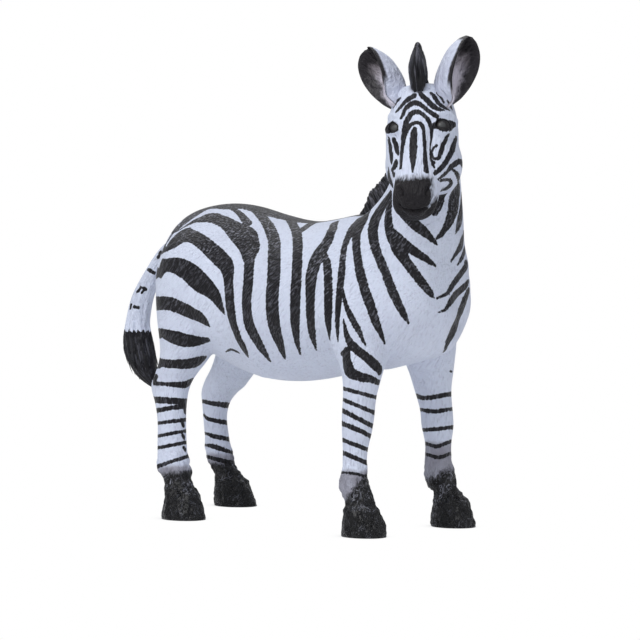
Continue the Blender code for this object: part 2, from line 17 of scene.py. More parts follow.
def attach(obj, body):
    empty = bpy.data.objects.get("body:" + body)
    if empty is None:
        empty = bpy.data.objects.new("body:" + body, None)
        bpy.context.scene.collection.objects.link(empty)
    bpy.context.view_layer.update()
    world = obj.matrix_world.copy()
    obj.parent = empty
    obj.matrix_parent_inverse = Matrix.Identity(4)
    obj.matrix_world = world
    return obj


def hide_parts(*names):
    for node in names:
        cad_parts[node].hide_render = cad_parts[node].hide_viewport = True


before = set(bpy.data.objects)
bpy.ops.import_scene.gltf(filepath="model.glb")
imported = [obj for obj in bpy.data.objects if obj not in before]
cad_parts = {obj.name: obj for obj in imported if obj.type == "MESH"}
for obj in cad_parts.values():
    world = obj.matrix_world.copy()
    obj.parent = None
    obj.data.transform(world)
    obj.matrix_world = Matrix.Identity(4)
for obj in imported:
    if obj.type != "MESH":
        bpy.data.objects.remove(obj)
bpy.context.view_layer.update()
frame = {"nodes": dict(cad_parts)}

log = logging.getLogger("zebra")
logging.basicConfig(level=logging.INFO, format="%(message)s")

MM = 0.001  # all modelling below is in millimetres of the figure, and turned to metres at the end
SHIFT_MM = Vector((1.847, 0.716, 0.0))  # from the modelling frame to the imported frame
TO_PACKED = Matrix.Scale(MM, 4) @ Matrix.Translation(SHIFT_MM)
BODY = "root"
FORE, LEFT, UP = Vector((1, 0, 0)), Vector((0, 1, 0)), Vector((0, 0, 1))
FAR = 9.0  # a distance in millimetres that means no paint near
BARE_FROM, BARE = 17.2, 0.4  # how far down the face the stripes end, and the least distance to them there

Row = tuple[float, ...]
Path = tuple[Row, ...]
Relief = tuple[tuple[Path, float, float], ...]
Object = bpy.types.Object
Settings = dict[str, Any] | None
Inputs = dict[Any, Any] | None
Stripe = tuple[np.ndarray, np.ndarray, bool]  # path, half widths, whether it is a mirrored copy


class Slot(Enum):
    """The record's material slots."""

    BODY = "painted_vinyl"
    MANE = "mane_vinyl"


class Attr(Enum):
    """Names of the values that the pieces' points carry to the materials."""

    STRIPE = "stripe"  # distance to the edge of the nearest stripe in millimetres, negative inside
    DIP = "dip"  # hooves and fetlocks: 0 on the coat to 1 on the hoof
    MUZZLE = "muzzle"  # distance to the edge of the dark muzzle in millimetres
    INNER = "inner"  # 1 in the cup of an ear
    ACROSS = "across"  # 1 at an ear's inner rim, by the forelock, to -1 at its outer rim
    ALONG = "along"  # 0 at the root of an ear to 1 at its tip
    FUR = "fur_place"  # place in millimetres along axes whose third runs with the hair
    GAZE = "gaze"  # 0 in the middle of an iris to 1 at its rim
    PAINTED_GLINT = "worn"  # how strongly the painted highlights, light strokes that stand in for glints on the fur, show in the black paint
    GROWTH = "growth"  # direction in which hair grows
    DENSITY = "density"  # share of the full count of hair
    STRAND = "strand"  # one random value for each lock of hair; on the mane's blade, how far a strand stands out, which sets its painted highlight
    NEAR = "near"  # painted shade where a piece touches its neighbour: 1 there, 0 a little way off


# Sections of the figure, in millimetres
# Trunk: station along x, top, bottom, half width
TRUNK_ROWS: Path = (
    (-34.6, 49.0, 42.0, 3.5), (-33.4, 52.6, 38.0, 5.9), (-30.5, 56.0, 34.5, 8.8), (-25.5, 58.3, 32.0, 13.2),
    (-19.0, 59.3, 31.0, 14.8), (-13.0, 59.0, 28.3, 14.8), (-6.5, 57.7, 26.5, 15.0), (0.0, 56.6, 26.2, 15.6),
    (6.0, 56.3, 26.8, 15.7), (12.0, 57.0, 28.3, 15.1), (18.0, 57.9, 29.6, 14.4), (24.0, 57.4, 30.1, 13.7),
    (30.0, 54.5, 31.4, 12.1), (34.8, 51.5, 34.2, 9.5), (38.1, 48.5, 37.6, 6.1), (39.3, 46.0, 40.3, 3.2),
)
TRUNK_TAPER = 0.14
# Neck: centre x, y, z, half depth, half width, lean of the section back from level, turn to the right
NECK_ROWS: Path = (
    (22.5, 0.0, 46.0, 14.5, 10.5, 28.0, 0.0), (27.0, 0.0, 50.5, 13.0, 10.2, 25.0, 0.0),
    (30.8, -0.3, 56.0, 10.0, 8.0, 18.0, 5.0), (33.6, -0.9, 61.5, 8.1, 6.3, 16.0, 14.0),
    (35.2, -2.1, 67.5, 7.0, 5.7, 14.0, 24.0), (36.3, -3.7, 72.0, 6.4, 5.5, 12.0, 36.0),
    (37.1, -5.3, 75.5, 5.5, 5.0, 12.0, 46.0),
)
# Legs: height, centre x, centre |y|, depth fore and aft, width across
RIGHT_FORE_ROWS: Path = (
    (55.0, 17.0, 4.5, 12.0, 8.0), (48.0, 19.5, 7.0, 18.0, 13.0), (40.0, 22.8, 8.4, 17.0, 13.0),
    (34.0, 26.0, 10.0, 11.0, 9.6), (29.0, 27.6, 11.0, 7.6, 7.0), (25.0, 27.2, 11.2, 6.4, 5.9),
    (21.5, 27.0, 11.4, 6.3, 5.7), (18.5, 26.8, 11.5, 5.7, 5.3), (15.5, 26.6, 11.7, 4.8, 4.5),
    (12.5, 26.5, 11.8, 4.8, 4.4), (10.4, 26.6, 12.0, 5.9, 5.0), (8.2, 27.1, 12.1, 5.8, 5.0),
    (6.4, 28.1, 12.2, 5.0, 4.6), (5.0, 28.9, 12.3, 6.6, 5.8), (2.0, 29.4, 12.4, 8.6, 7.0),
    (0.0, 29.6, 12.5, 9.2, 7.4),
)
LEFT_FORE_ROWS: Path = (
    (55.0, 17.0, 4.5, 12.0, 8.0), (48.0, 19.0, 7.0, 18.0, 13.0), (40.0, 21.4, 8.4, 17.0, 13.0),
    (34.0, 23.2, 9.6, 11.2, 10.6), (29.0, 23.7, 10.6, 8.6, 8.2), (25.0, 23.9, 11.1, 7.2, 6.5),
    (21.5, 24.5, 11.4, 6.4, 5.8), (18.5, 24.7, 11.5, 6.4, 5.7), (15.5, 24.7, 11.7, 5.2, 4.8),
    (12.5, 24.6, 11.8, 5.2, 4.7), (9.8, 24.6, 12.0, 6.1, 5.2), (7.6, 25.3, 12.1, 5.7, 5.0),
    (6.2, 26.5, 12.2, 4.9, 4.6), (5.0, 27.3, 12.3, 6.7, 5.9), (2.0, 27.7, 12.4, 8.6, 7.0),
    (0.0, 27.9, 12.5, 9.2, 7.4),
)
RIGHT_HIND_ROWS: Path = (
    (56.5, -18.6, 4.0, 14.2, 8.0), (51.0, -17.9, 6.8, 19.8, 14.0), (44.0, -19.0, 7.8, 19.8, 14.5),
    (38.0, -19.9, 9.0, 15.4, 12.4), (33.5, -20.0, 10.0, 12.0, 10.2), (30.0, -21.0, 10.4, 10.0, 8.7),
    (27.0, -22.8, 10.9, 8.8, 7.2), (24.6, -23.9, 11.3, 8.6, 6.4), (21.5, -23.3, 11.7, 6.8, 5.5),
    (18.0, -22.7, 12.0, 5.9, 5.2), (13.5, -22.2, 12.4, 6.1, 5.3), (10.5, -21.5, 12.7, 6.7, 5.5),
    (8.5, -20.8, 12.9, 6.8, 5.4), (6.5, -19.5, 13.1, 5.3, 4.8), (5.0, -18.3, 13.4, 6.4, 5.7),
    (2.0, -17.6, 13.7, 8.8, 7.2), (0.0, -17.3, 13.9, 9.4, 7.6),
)
LEFT_HIND_ROWS: Path = (
    (56.5, -19.1, 4.0, 14.2, 8.0), (51.0, -18.9, 6.8, 19.8, 14.0), (44.0, -20.4, 7.8, 19.8, 14.5),
    (38.0, -22.8, 9.0, 16.0, 12.4), (33.5, -25.0, 10.0, 12.8, 10.2), (30.0, -27.3, 10.3, 11.2, 8.9),
    (27.0, -29.8, 10.6, 10.2, 7.6), (24.5, -32.4, 10.8, 9.6, 6.6), (22.0, -34.4, 10.9, 8.4, 5.8),
    (20.0, -35.4, 11.0, 6.2, 5.0), (17.0, -35.7, 11.0, 5.0, 4.5), (13.0, -35.2, 11.1, 5.2, 4.7),
    (10.5, -34.9, 11.2, 5.7, 4.9), (8.8, -34.5, 11.2, 5.8, 4.8), (6.8, -32.9, 11.3, 5.0, 4.6),
    (5.0, -31.6, 11.5, 6.5, 5.7), (2.0, -30.9, 11.7, 8.8, 7.2), (0.0, -30.6, 11.8, 9.4, 7.6),
)
# Head, in its own frame: distance from the poll down the face, face line, underside, half width, flatness
HEAD_ROWS: Path = (
    (-2.6, -3.6, -8.6, 3.2, 0.90), (-1.2, -1.6, -10.8, 4.8, 0.85), (1.5, -0.1, -12.4, 5.9, 0.78),
    (5.0, 0.5, -13.2, 6.5, 0.72), (8.5, 0.2, -13.6, 6.5, 0.62), (12.0, -0.2, -13.2, 6.1, 0.52),
    (15.2, -0.4, -11.4, 5.0, 0.58), (18.0, -0.5, -9.2, 4.1, 0.76), (20.4, -0.3, -8.2, 4.1, 0.86),
    (22.3, -0.7, -7.6, 3.9, 0.90), (23.5, -1.9, -6.8, 2.9, 0.90), (24.0, -3.2, -5.6, 1.3, 0.90),
)
POLL = Vector((39.0, -8.6, 80.8))
HEAD_TURN, HEAD_DIP, HEAD_ROLL = math.radians(-57), math.radians(60), math.radians(3.3)
WITHERS, CHEST = Vector((17.0, 0.0, 58.5)), Vector((39.0, 0.0, 48.0))
NAPE, THROAT = (-14.0, -5.8), (0.4, -21.8)  # the neck joint: ahead of the poll, above it
# Swellings of the head: down the face, to the side, deep, radius, and the radius's shares along the three
EYE_BULGE: Row = (7.4, 4.9, -2.9, 1.5, 1.25, 0.75, 0.9)
JAW_BULGE: Row = (10.6, 3.1, -9.2, 5.2, 1.1, 0.75, 1.0)
EAR_LENGTH = 12.3
# Ears: the middle of the root in the head's frame, and the side, lean outwards, lean back and turn of the cup
EAR_ROOTS: dict[str, Row] = {"right_ear": (0.3, 5.0, -3.7), "left_ear": (0.7, 5.0, -3.9)}
EAR_STANDS: dict[str, Row] = {"right_ear": (-1, 27.7, 21.6, 50.3), "left_ear": (1, 13.9, 5.5, 68.8)}
# Ear: along, half width, half the wall, how far the rims stand ahead of the back, turn of the section in
# degrees, shift outwards, pull towards the middle of the head; all but the turn as shares of the length
EAR_ROWS: Path = (
    (-0.16, 0.135, 0.105, 0.03, 38.0, 0.000, 0.09), (0.00, 0.180, 0.125, 0.17, 26.0, -0.034, 0.02),
    (0.12, 0.220, 0.108, 0.26, 9.0, -0.072, 0.00), (0.30, 0.263, 0.090, 0.35, -3.0, -0.062, 0.00),
    (0.52, 0.272, 0.070, 0.39, -9.0, -0.033, 0.00), (0.74, 0.208, 0.062, 0.38, -17.0, -0.003, 0.00),
    (0.90, 0.122, 0.052, 0.23, -20.0, 0.032, 0.00), (0.98, 0.040, 0.035, 0.04, -14.0, 0.065, 0.00),
)
# Mane: root on the crest, height of the hair, direction of growth
MANE_ROWS: Path = (
    (16.4, 0.0, 57.1, 0.6, -0.2, 0.0, 1.0), (18.5, 0.0, 57.8, 2.0, -0.4, 0.0, 0.9),
    (20.8, 0.2, 58.8, 3.8, -0.6, 0.0, 0.8), (23.8, 0.5, 60.8, 4.3, -0.7, 0.0, 0.7),
    (26.3, 0.8, 64.0, 4.4, -0.8, 0.1, 0.6), (28.7, 0.9, 68.6, 4.6, -0.8, 0.2, 0.55),
    (31.0, 0.3, 73.0, 5.0, -0.7, 0.2, 0.7), (33.3, -1.3, 76.8, 5.8, -0.5, 0.2, 0.85),
    (35.6, -4.2, 79.6, 7.2, -0.2, 0.1, 1.0), (37.6, -6.8, 80.6, 8.3, 0.05, -0.05, 1.0),
    (39.0, -8.2, 80.9, 6.4, 0.14, -0.24, 1.0), (39.9, -9.0, 80.7, 3.0, 0.24, -0.34, 0.9),
)
# A lock of hair, of unit size: along, half width, lift off the surface
LOCK_ROWS: Path = (
    (-0.06, 0.30, -0.5), (0.05, 0.80, -0.1), (0.25, 1.0, 0.25), (0.5, 0.9, 0.3), (0.75, 0.62, 0.12),
    (0.92, 0.3, -0.2), (1.0, 0.06, -0.45),
)
# Tail: centre, radius
TAIL_ROWS: Path = (
    (-31.0, 0.3, 49.6, 1.55), (-34.6, 0.5, 50.6, 1.55), (-38.0, 0.9, 49.8, 1.50), (-41.4, 1.4, 47.2, 1.60),
    (-44.7, 1.8, 43.4, 1.90), (-47.0, 2.0, 39.8, 2.25), (-48.3, 2.1, 35.8, 2.50), (-48.2, 2.1, 31.6, 2.95),
    (-46.6, 2.1, 27.6, 2.65), (-44.6, 2.0, 24.8, 1.60), (-43.4, 2.0, 23.2, 0.50),
)

# Paint, as seen in the photograph's frame
# Each stripe is a path of (x, y, width) in pixels of the frame, laid on the skin along the line of sight
BODY_STRIPES_PX: tuple[Path, ...] = (
    ((178, 231, 1.2), (187, 225.3, 2), (199, 219.3, 4.8), (211.8, 217.4, 10), (226, 222.5, 13),
     (236, 230, 19),
     (245, 237, 25), (250.5, 249, 20), (249.5, 261, 10.5), (248, 284, 10), (246.7, 304.7, 9.5),
     (249.7, 324.5, 10), (255.8, 338, 9), (262, 349, 7), (270, 361, 2)),
    ((201.6, 210, 2), (217, 206.8, 4.5), (228.4, 206.8, 6), (242.4, 206.6, 6), (254, 208, 7),
     (262, 211.5, 6)),
    ((165, 250.5, 2), (171.7, 242.8, 8), (181.2, 236.5, 13), (193.3, 236.8, 13), (204.8, 244.1, 15),
     (217.6, 256.2, 17), (227, 266.4, 15), (228.6, 279.2, 10), (229, 295, 9), (230, 309.8, 8.5),
     (233.3, 325, 6.8), (238.6, 339, 6), (243.5, 348.5, 5), (247.6, 356.5, 1.5)),
    ((159, 273.5, 3), (163.4, 266.4, 11), (173.6, 265.2, 16), (186.3, 270.3, 19), (199.7, 281.7, 20),
     (211.2, 291.3, 14.5), (218.2, 300.9, 9), (224.8, 314.3, 1.5)),
    ((157.6, 303.4, 14), (168.5, 303.4, 13.5), (179, 307, 13), (191.4, 313, 12), (201.6, 318, 9),
     (209.3, 326, 2)),
    ((161.8, 333, 8), (172.3, 337, 13), (185, 340.4, 13.5), (196.5, 341, 10), (208.5, 339.4, 4.5)),
    ((161.5, 363, 8.5), (173, 364, 8.8), (186, 364, 10), (196, 362.5, 9.5), (204, 358.5, 4)),
    ((157.5, 377, 2.5), (154, 382.5, 4.5), (165, 384, 4), (176, 384.7, 5.5), (185, 384.5, 7),
     (191, 381.5, 6)),
    ((255, 211, 5), (262, 217, 8), (268.5, 226, 11), (273.8, 240, 12.5), (274, 256, 13), (274, 272, 13),
     (272, 302, 13), (274.5, 327, 12), (280, 345, 8), (285, 359, 2)),
    ((285, 213, 5), (291, 221, 8), (297, 235, 10), (297.5, 256, 10), (296, 287, 10.5), (295, 318, 9.5),
     (296.5, 338, 6.5), (300, 354, 2)),
    ((318, 220.5, 4), (309, 225, 5), (301.5, 231, 4)),
    ((336, 219, 6), (332, 230, 8), (326.5, 242, 9.5), (317, 258, 12), (312, 275, 11.5), (310.5, 290, 10),
     (310.5, 305, 9), (311, 325, 8), (313, 338, 6), (316, 350, 1.5)),
    ((321, 250, 6), (326.5, 262, 8), (328, 280, 8.5), (328, 302, 8.5), (328, 320, 7), (329.5, 339, 1.5)),
    ((364, 214, 5), (357, 223.5, 7), (350.2, 233.5, 6.4), (346.2, 242, 5.8), (343.8, 250, 5.8),
     (341.8, 271, 7), (340.5, 285, 7),
     (339, 299, 6.5), (337.5, 320, 5), (338, 342, 1.5)),
    ((342.5, 286, 1.5), (345.6, 304.6, 4.5), (352, 318.7, 6.5), (359, 331.3, 6), (365.5, 345.6, 1.5)),
    ((368, 213, 4), (361.6, 222, 7.5), (357.2, 233, 8), (356.4, 241, 8.2), (357, 254, 8.4),
     (359.6, 271, 9.3), (364.5, 289, 9.8),
     (369.5, 303, 9.8), (375.8, 321.5, 8.5), (381, 334, 5), (385, 344.3, 1.5)),
    ((390, 193, 2.5), (387, 198.5, 4.5), (382, 206.5, 7), (376, 217.7, 9.5), (373.2, 230.3, 10.2),
     (374.4, 243, 10), (377.6, 254.2, 9.5), (384.9, 271, 9.2), (390.5, 286.4, 9.2), (396.8, 300.4, 9.2),
     (403.8, 314.5, 7), (409, 324, 1.5)),
    ((391, 193, 2), (389.5, 203, 4.5), (388.2, 214, 7), (388.6, 226, 9), (392.6, 238.7, 11),
     (398.9, 250, 13),
     (405.9, 261.2, 10.5), (414.3, 272.4, 10), (422.7, 283.6, 9), (429.8, 292.4, 6.5), (434, 298, 1.5)),
    ((394, 234, 9), (404.5, 244.3, 10.5), (414.3, 251.3, 9), (424.2, 257.7, 7.5), (431.2, 262.6, 5),
     (436, 266.4, 1.5)),
    ((396, 205, 4), (401, 213.5, 5), (408.5, 220.5, 8), (417.5, 226.5, 11), (425.5, 233, 9),
     (432, 239.5, 5.5),
     (437.5, 245, 1.5)),
    ((447, 186, 7), (441.8, 196, 7.5), (438.4, 205.5, 8.5), (435.2, 213.2, 6.5)),
    ((457, 188, 7), (455, 198, 9.5), (453.6, 209.3, 10), (450.3, 219.5, 9), (445.2, 229, 6.5),
     (438.8, 236.8, 4),
     (434, 240.5, 2)),
    ((461.7, 190, 5), (461.7, 200.9, 4.5), (461.3, 212, 5.5), (459.2, 223.3, 5), (455.7, 233.5, 1.5)),
    ((464.3, 229, 2), (463.3, 236, 3.5), (460.6, 245.7, 5), (455.7, 254, 3.5), (451, 261.5, 1.8)),
    ((465.8, 245, 2.5), (462.4, 256.5, 3.5), (457.5, 265, 1.8)),
    ((466.8, 263, 4), (465, 268, 5), (459.2, 276, 5.6), (452.2, 286, 4.8), (446.6, 293.6, 4),
     (437, 298.5, 2.4)),
    ((468.4, 281, 2.4), (464.8, 286.6, 5.6), (456.4, 294, 6.6), (449.4, 303.4, 5), (445.2, 309.5, 3.2),
     (438.2, 312.6, 1.6)),
    ((468, 292, 4), (462.4, 307, 5.5), (456.4, 321.5, 5.5), (450.8, 335.5, 6), (443.8, 352, 1.5)),
    ((343.3, 319, 1.5), (347, 336.5, 6), (353.5, 346.7, 9), (363.8, 355.1, 9), (373.7, 363.5, 10),
     (380, 370.5, 8)),
    ((341.5, 354, 4), (346.3, 352, 7), (346, 362, 8), (350, 372, 11), (361, 377, 9), (370, 379, 8),
     (379, 382.7, 5.5)),
    ((450, 371, 2), (452, 372, 2.5)),
    ((226, 205.6, 4), (236, 210.5, 4.5), (243, 217, 7), (248, 224, 9)),
    ((167.8, 241, 3.8), (171, 235.5, 3.8)),
    ((225.5, 352, 1.2), (231, 349.5, 2.4), (239, 352.6, 1.6)),
    ((182.5, 423.5, 3.2), (183.6, 425.5, 3.2)), ((183, 435.4, 3), (184, 437.2, 3)),
    ((184, 447.8, 3.2), (185, 449.6, 3.2)), ((184.6, 405, 3), (185.4, 411, 4)),
)
# Stripes whose start is carried on round the back of the rump and the thigh, and how much each rises there
WRAPPED_STRIPES: dict[int, float] = {0: 0.15, 2: 0.05, 3: 0.0, 4: -0.05, 5: -0.1, 6: -0.1, 7: 0.0}
# The black that runs along the top of the rump to the tail
RUMP_EDGE_PX: Path = (
    (174.6, 231.5, 3), (181.6, 225, 4.6), (189.6, 219, 5), (198.6, 213, 5), (208, 208.4, 4),
    (217, 206.2, 4),
)
EYE_PLACES_PX: dict[str, Row] = {"right_eye": (394.2, 127.8), "left_eye": (442.2, 124.8)}
# The rump's edge is laid at each of these shares of its distance from the middle plane
RUMP_EDGE_SHARES: Row = (1.0, 0.7, 0.45)
# The black along the spine: station along x, half width
SPINE_ROWS: Path = (
    (-33.0, 2.0), (-30.0, 3.0), (-25.0, 3.6), (-18.0, 3.7), (-10.0, 3.2), (-2.0, 2.9), (8.0, 2.9),
    (16.0, 3.0),
    (21.0, 3.2),
)
# Bands that the photograph doesn't show. Neck: height, sweep up towards the mane, half width
HIDDEN_NECK_ROWS: Path = (
    (58.5, 5.0, 1.25), (62.5, 4.5, 1.2), (66.5, 3.8, 1.1), (70.3, 3.0, 1.0), (74.0, 2.2, 0.9),
)
# Both ways round the neck from the mane: from, to and step, in degrees from straight ahead
HIDDEN_NECK_TURNS: tuple[tuple[int, int, int], ...] = ((168, 20, -12), (192, 288, 12))
# The same round the back of the head, in its own frame: down the face, half width
HIDDEN_HEAD_ROWS: Path = ((0.2, 0.7), (3.2, 0.75), (6.4, 0.8), (9.8, 0.75))
HEAD_STRIPES_PX: tuple[Path, ...] = (
    ((414.6, 129.5, 4.8), (413.8, 135, 6.6), (413.2, 143, 6.8), (413, 152, 6.6), (412.8, 161, 5.2),
     (412.6, 168, 3.2),
     (412.8, 173.5, 1.2)),
    ((401, 167, 3.5), (401.5, 155, 4), (403.5, 143, 4), (406.3, 131.5, 3.8), (411, 124.8, 3.4),
     (417, 122.4, 3),
     (421.6, 125.4, 3.4), (423.6, 132, 3.0), (424.6, 145, 3.2), (425, 158, 3.8), (426, 171, 4.5)),
    ((402, 139, 2), (404.5, 128, 3.8), (408, 118.5, 4.6), (412.5, 113, 4.4), (417.5, 111.8, 4.2),
     (423, 114.4, 3.8),
     (427.8, 120.4, 3.4), (431.2, 128, 3.0), (431.8, 136, 2.6), (430.8, 146, 1.6), (430.8, 154, 1.6),
     (432.6, 163, 2.2),
     (434.5, 167, 1.5)),
    ((402, 118.5, 2.2), (404.5, 110.5, 3.6), (409, 105.5, 4), (415.5, 103, 4.2), (421.2, 105.2, 3.8),
     (427.4, 110.2, 3.8), (432, 114.6, 4.4), (436, 117.2, 4.2)),
    ((414.6, 97, 3.2), (409.5, 99.5, 3.2), (403, 104.5, 3), (397, 111.5, 1.8)),
    ((401, 99.6, 1.4), (397.5, 102.5, 1.6), (394, 107, 1.2)),
    ((418.4, 91.5, 2.6), (421.6, 96, 3.8), (427.2, 100.6, 4.6), (433, 106, 5), (438.5, 109.6, 4),
     (443, 110.6, 1.6)),
    ((430.5, 94.5, 2), (434.5, 98, 3.5), (438.5, 103.5, 3.6), (444, 107.5, 3.2), (448.5, 110.5, 1.5)),
    ((437, 95, 1.8), (441.5, 98, 2.6), (444, 102.5, 2)),
    ((447, 100, 1.6), (449.5, 104, 2.6), (451.5, 108.5, 1.2)),
    ((393.5, 139.5, 3.2), (395.5, 146, 3.8), (397.3, 153, 3)),
    ((388.5, 138, 1.6), (390, 147, 3), (391.5, 158, 3), (391.8, 163, 1.5)),
    ((395.5, 160, 1.5), (394.5, 166, 3.6), (391.5, 170, 2)),
    ((392.5, 172, 2), (394.5, 175.5, 3)),
    ((448.5, 135.5, 2.4), (444, 142.5, 3.8), (441, 150.5, 4.2), (438, 158.5, 3.2), (434.5, 158.6, 2)),
    ((436.5, 145.3, 2.4), (433, 149, 2.2), (431.8, 154, 2.4), (434, 158.8, 1.8)),
    ((456.3, 138.5, 2.6), (452.5, 148, 4.4), (447, 158.5, 4.4), (440.5, 168, 4.2), (434.5, 174, 3.6)),
    ((437, 180, 1.6), (444.5, 173.5, 3), (450.5, 166.5, 4.6), (457.5, 161.8, 5), (462, 164.5, 4),
     (463, 170, 2)),
    ((451.5, 169, 2), (456.5, 174, 3.4), (458.8, 180.5, 3.4), (457.5, 187, 3), (453.5, 192, 1.4)),
    ((437, 182, 1.8), (443, 180, 2.8), (449, 180, 3), (451, 183, 3.2), (448, 187.5, 3), (439.5, 192, 1.6)),
    ((432.3, 160.5, 1.2), (434.8, 163, 1.4)),
    ((388.6, 169, 1.6), (389.8, 177, 4.4), (391.2, 185, 4.8), (393, 193, 2)),
)
EYE_PATCHES_PX: tuple[Path, ...] = (
    ((389.6, 128, 7.5), (393, 127.4, 11), (396.6, 128.6, 8), (399.3, 130, 2.4)),
    ((435.8, 126, 7.5), (440, 124.8, 11), (446.5, 124.9, 11.4), (451.5, 124.6, 8.5), (454.6, 124.6, 4.6)),
)
# Bands go right round a leg: paths of (x, y, width) across it
LEG_BANDS_PX: dict[str, tuple[Path, ...]] = {
    "right_foreleg": (
        ((345.1, 389, 4.2), (375.2, 397.1, 4.2)), ((345.6, 400.7, 4.2), (372.4, 411.9, 4.3)),
        ((344.5, 411.6, 4.6), (357.9, 418.5, 4.6), (371.9, 425.8, 4.8)),
        ((343.4, 424.1, 5), (357.9, 429.7, 5), (370.2, 435.9, 4.6)),
        ((345, 440.9, 4.2), (366.8, 449.2, 4.5)),
        ((344.5, 453.4, 4.8), (365.7, 462.4, 4.8)),
        ((340.6, 472.4, 2.8), (354.6, 473.6, 3), (366.3, 476.6, 2.8)),
    ),
    "left_foreleg": (
        ((417, 396.2, 4.8), (427, 397.9, 4.8), (450.5, 394, 5)),
        ((420.4, 409.6, 3.6), (434.9, 411.5, 4.4), (451, 409, 4)),
        ((422, 430, 3.4), (434.9, 429.2, 4), (453.9, 427.1, 4)),
        ((426.5, 443.7, 3.6), (437.1, 446.2, 4), (451.7, 440.9, 3.4)),
        ((426.5, 454.3, 3.4), (438.3, 457.3, 4), (450.5, 453.5, 3.8)),
    ),
    "right_hind_leg": (
        ((154.9, 399.8, 6.8), (184, 401.6, 6.5)),
        ((157.8, 410.4, 4.8), (169.7, 408.2, 4.5), (183.5, 406, 6)),
        ((159.8, 423, 3.6), (181.6, 420.3, 4)), ((160.3, 435.6, 3.4), (181.6, 431.6, 3.6)),
        ((159.8, 447.5, 3.4), (181, 443.4, 3.5)),
        ((159.8, 465.8, 4.2), (171, 461.6, 3.8), (183, 457.9, 3.8)),
    ),
    "left_hind_leg": (
        ((201.8, 401, 3.5), (212.2, 403.4, 4.8), (228, 405.4, 6)),
        ((203.5, 415, 2), (209, 419.2, 4), (223, 422, 4.8)),
        ((207, 433.9, 3.2), (214.2, 436.3, 4.6), (224, 438.3, 4.6)),
        ((206.8, 445.2, 3), (216.1, 447.2, 5.4), (227.5, 450.9, 3.6)),
        ((208.2, 457, 3.2), (218.1, 459.6, 4.4), (229, 462, 4)),
    ),
}
# How strongly the painted highlights, light strokes for glints on the fur, show in the black of each moulding
# but the trunk
PAINTED_GLINT_SHARES = {
    "neck": 0.5, "head": 0.22, "right_foreleg": 0.35, "left_foreleg": 0.3, "right_hind_leg": 0.35,
    "left_hind_leg": 0.3,
}
# Short ticks across the tail
TAIL_TICKS_PX: tuple[Path, ...] = (
    ((167.5, 241, 4.8), (171, 235.5, 4.8)), ((158.5, 257, 4.8), (161, 252.6, 4.8)),
    ((148.8, 269.8, 5.4), (154, 273, 5.2)),
    ((137.3, 292, 3.2), (141.5, 287.3, 3.6)), ((141, 287, 3.2), (146, 289.4, 4.6)),
    ((142, 292.6, 3.6), (144, 290, 3.2)),
    ((131, 304.6, 2.8), (130.8, 309, 2.6)), ((134.6, 306.8, 4.2), (138.6, 307.6, 4.2)),
)
TAIL_TUFT_PX = 331.0  # row of the frame where the black tuft starts
# Feet: row of the frame where the grey starts, column and row of a point on the black's edge, its slope
LEG_DIPS_PX: dict[str, Row] = {
    "right_foreleg": (464.0, 355.0, 490.0, -1.25), "left_foreleg": (435.0, 440.0, 477.0, -0.35),
    "right_hind_leg": (459.0, 178.0, 475.0, -0.20), "left_hind_leg": (446.0, 218.0, 466.0, -0.10),
}
# The pale edge of the lips, beside the dark muzzle
LIP_EDGE_PX: Path = ((434, 181, 3.5), (435.6, 188, 5), (436.4, 195, 5), (435, 201, 4), (432, 207, 2))

# Relief: path in pixels, width and height in millimetres
BODY_RELIEF_PX: Relief = (
    (((372, 250), (358, 290), (352, 335), (352, 362)), 3.6, 0.45),
    (((338, 285), (337, 330), (341, 362)), 2.0, -0.45),
    (((398, 300), (392, 340), (384, 366)), 2.6, 0.35),
    (((262, 340), (246, 330), (236, 300)), 4.0, -0.5),
    (((228, 300), (240, 335), (256, 362), (262, 374)), 1.8, 0.45),
    (((205, 262), (192, 300), (186, 335)), 5.5, 0.5),
    (((226, 232), (236, 240)), 3.4, 0.35),
    (((168, 250), (162, 290), (163, 330)), 3.0, 0.2),
    (((371, 222), (384, 262), (412, 306), (428, 330)), 2.4, -0.32),
    (((446, 262), (441, 300), (434, 345)), 2.6, -0.35),
    (((412, 280), (420, 320), (416, 352)), 3.6, 0.4),
    (((456, 280), (452, 320), (440, 350)), 3.0, 0.35),
    (((268, 372), (300, 374), (332, 373)), 3.0, 0.2),
    (((262, 228), (300, 236), (332, 238)), 3.0, 0.15),
)
FAR_RELIEF_PX: Relief = (
    (((463, 302), (463, 313), (460, 323)), 3.2, -0.9),
    (((465, 268), (466, 276)), 3.0, 0.6),
    (((452, 344), (449, 352)), 3.0, 0.35),
    (((247.5, 377), (243, 384)), 1.9, 0.5),
    (((469, 300), (470, 311), (467.5, 321)), 3.0, -0.7),
)
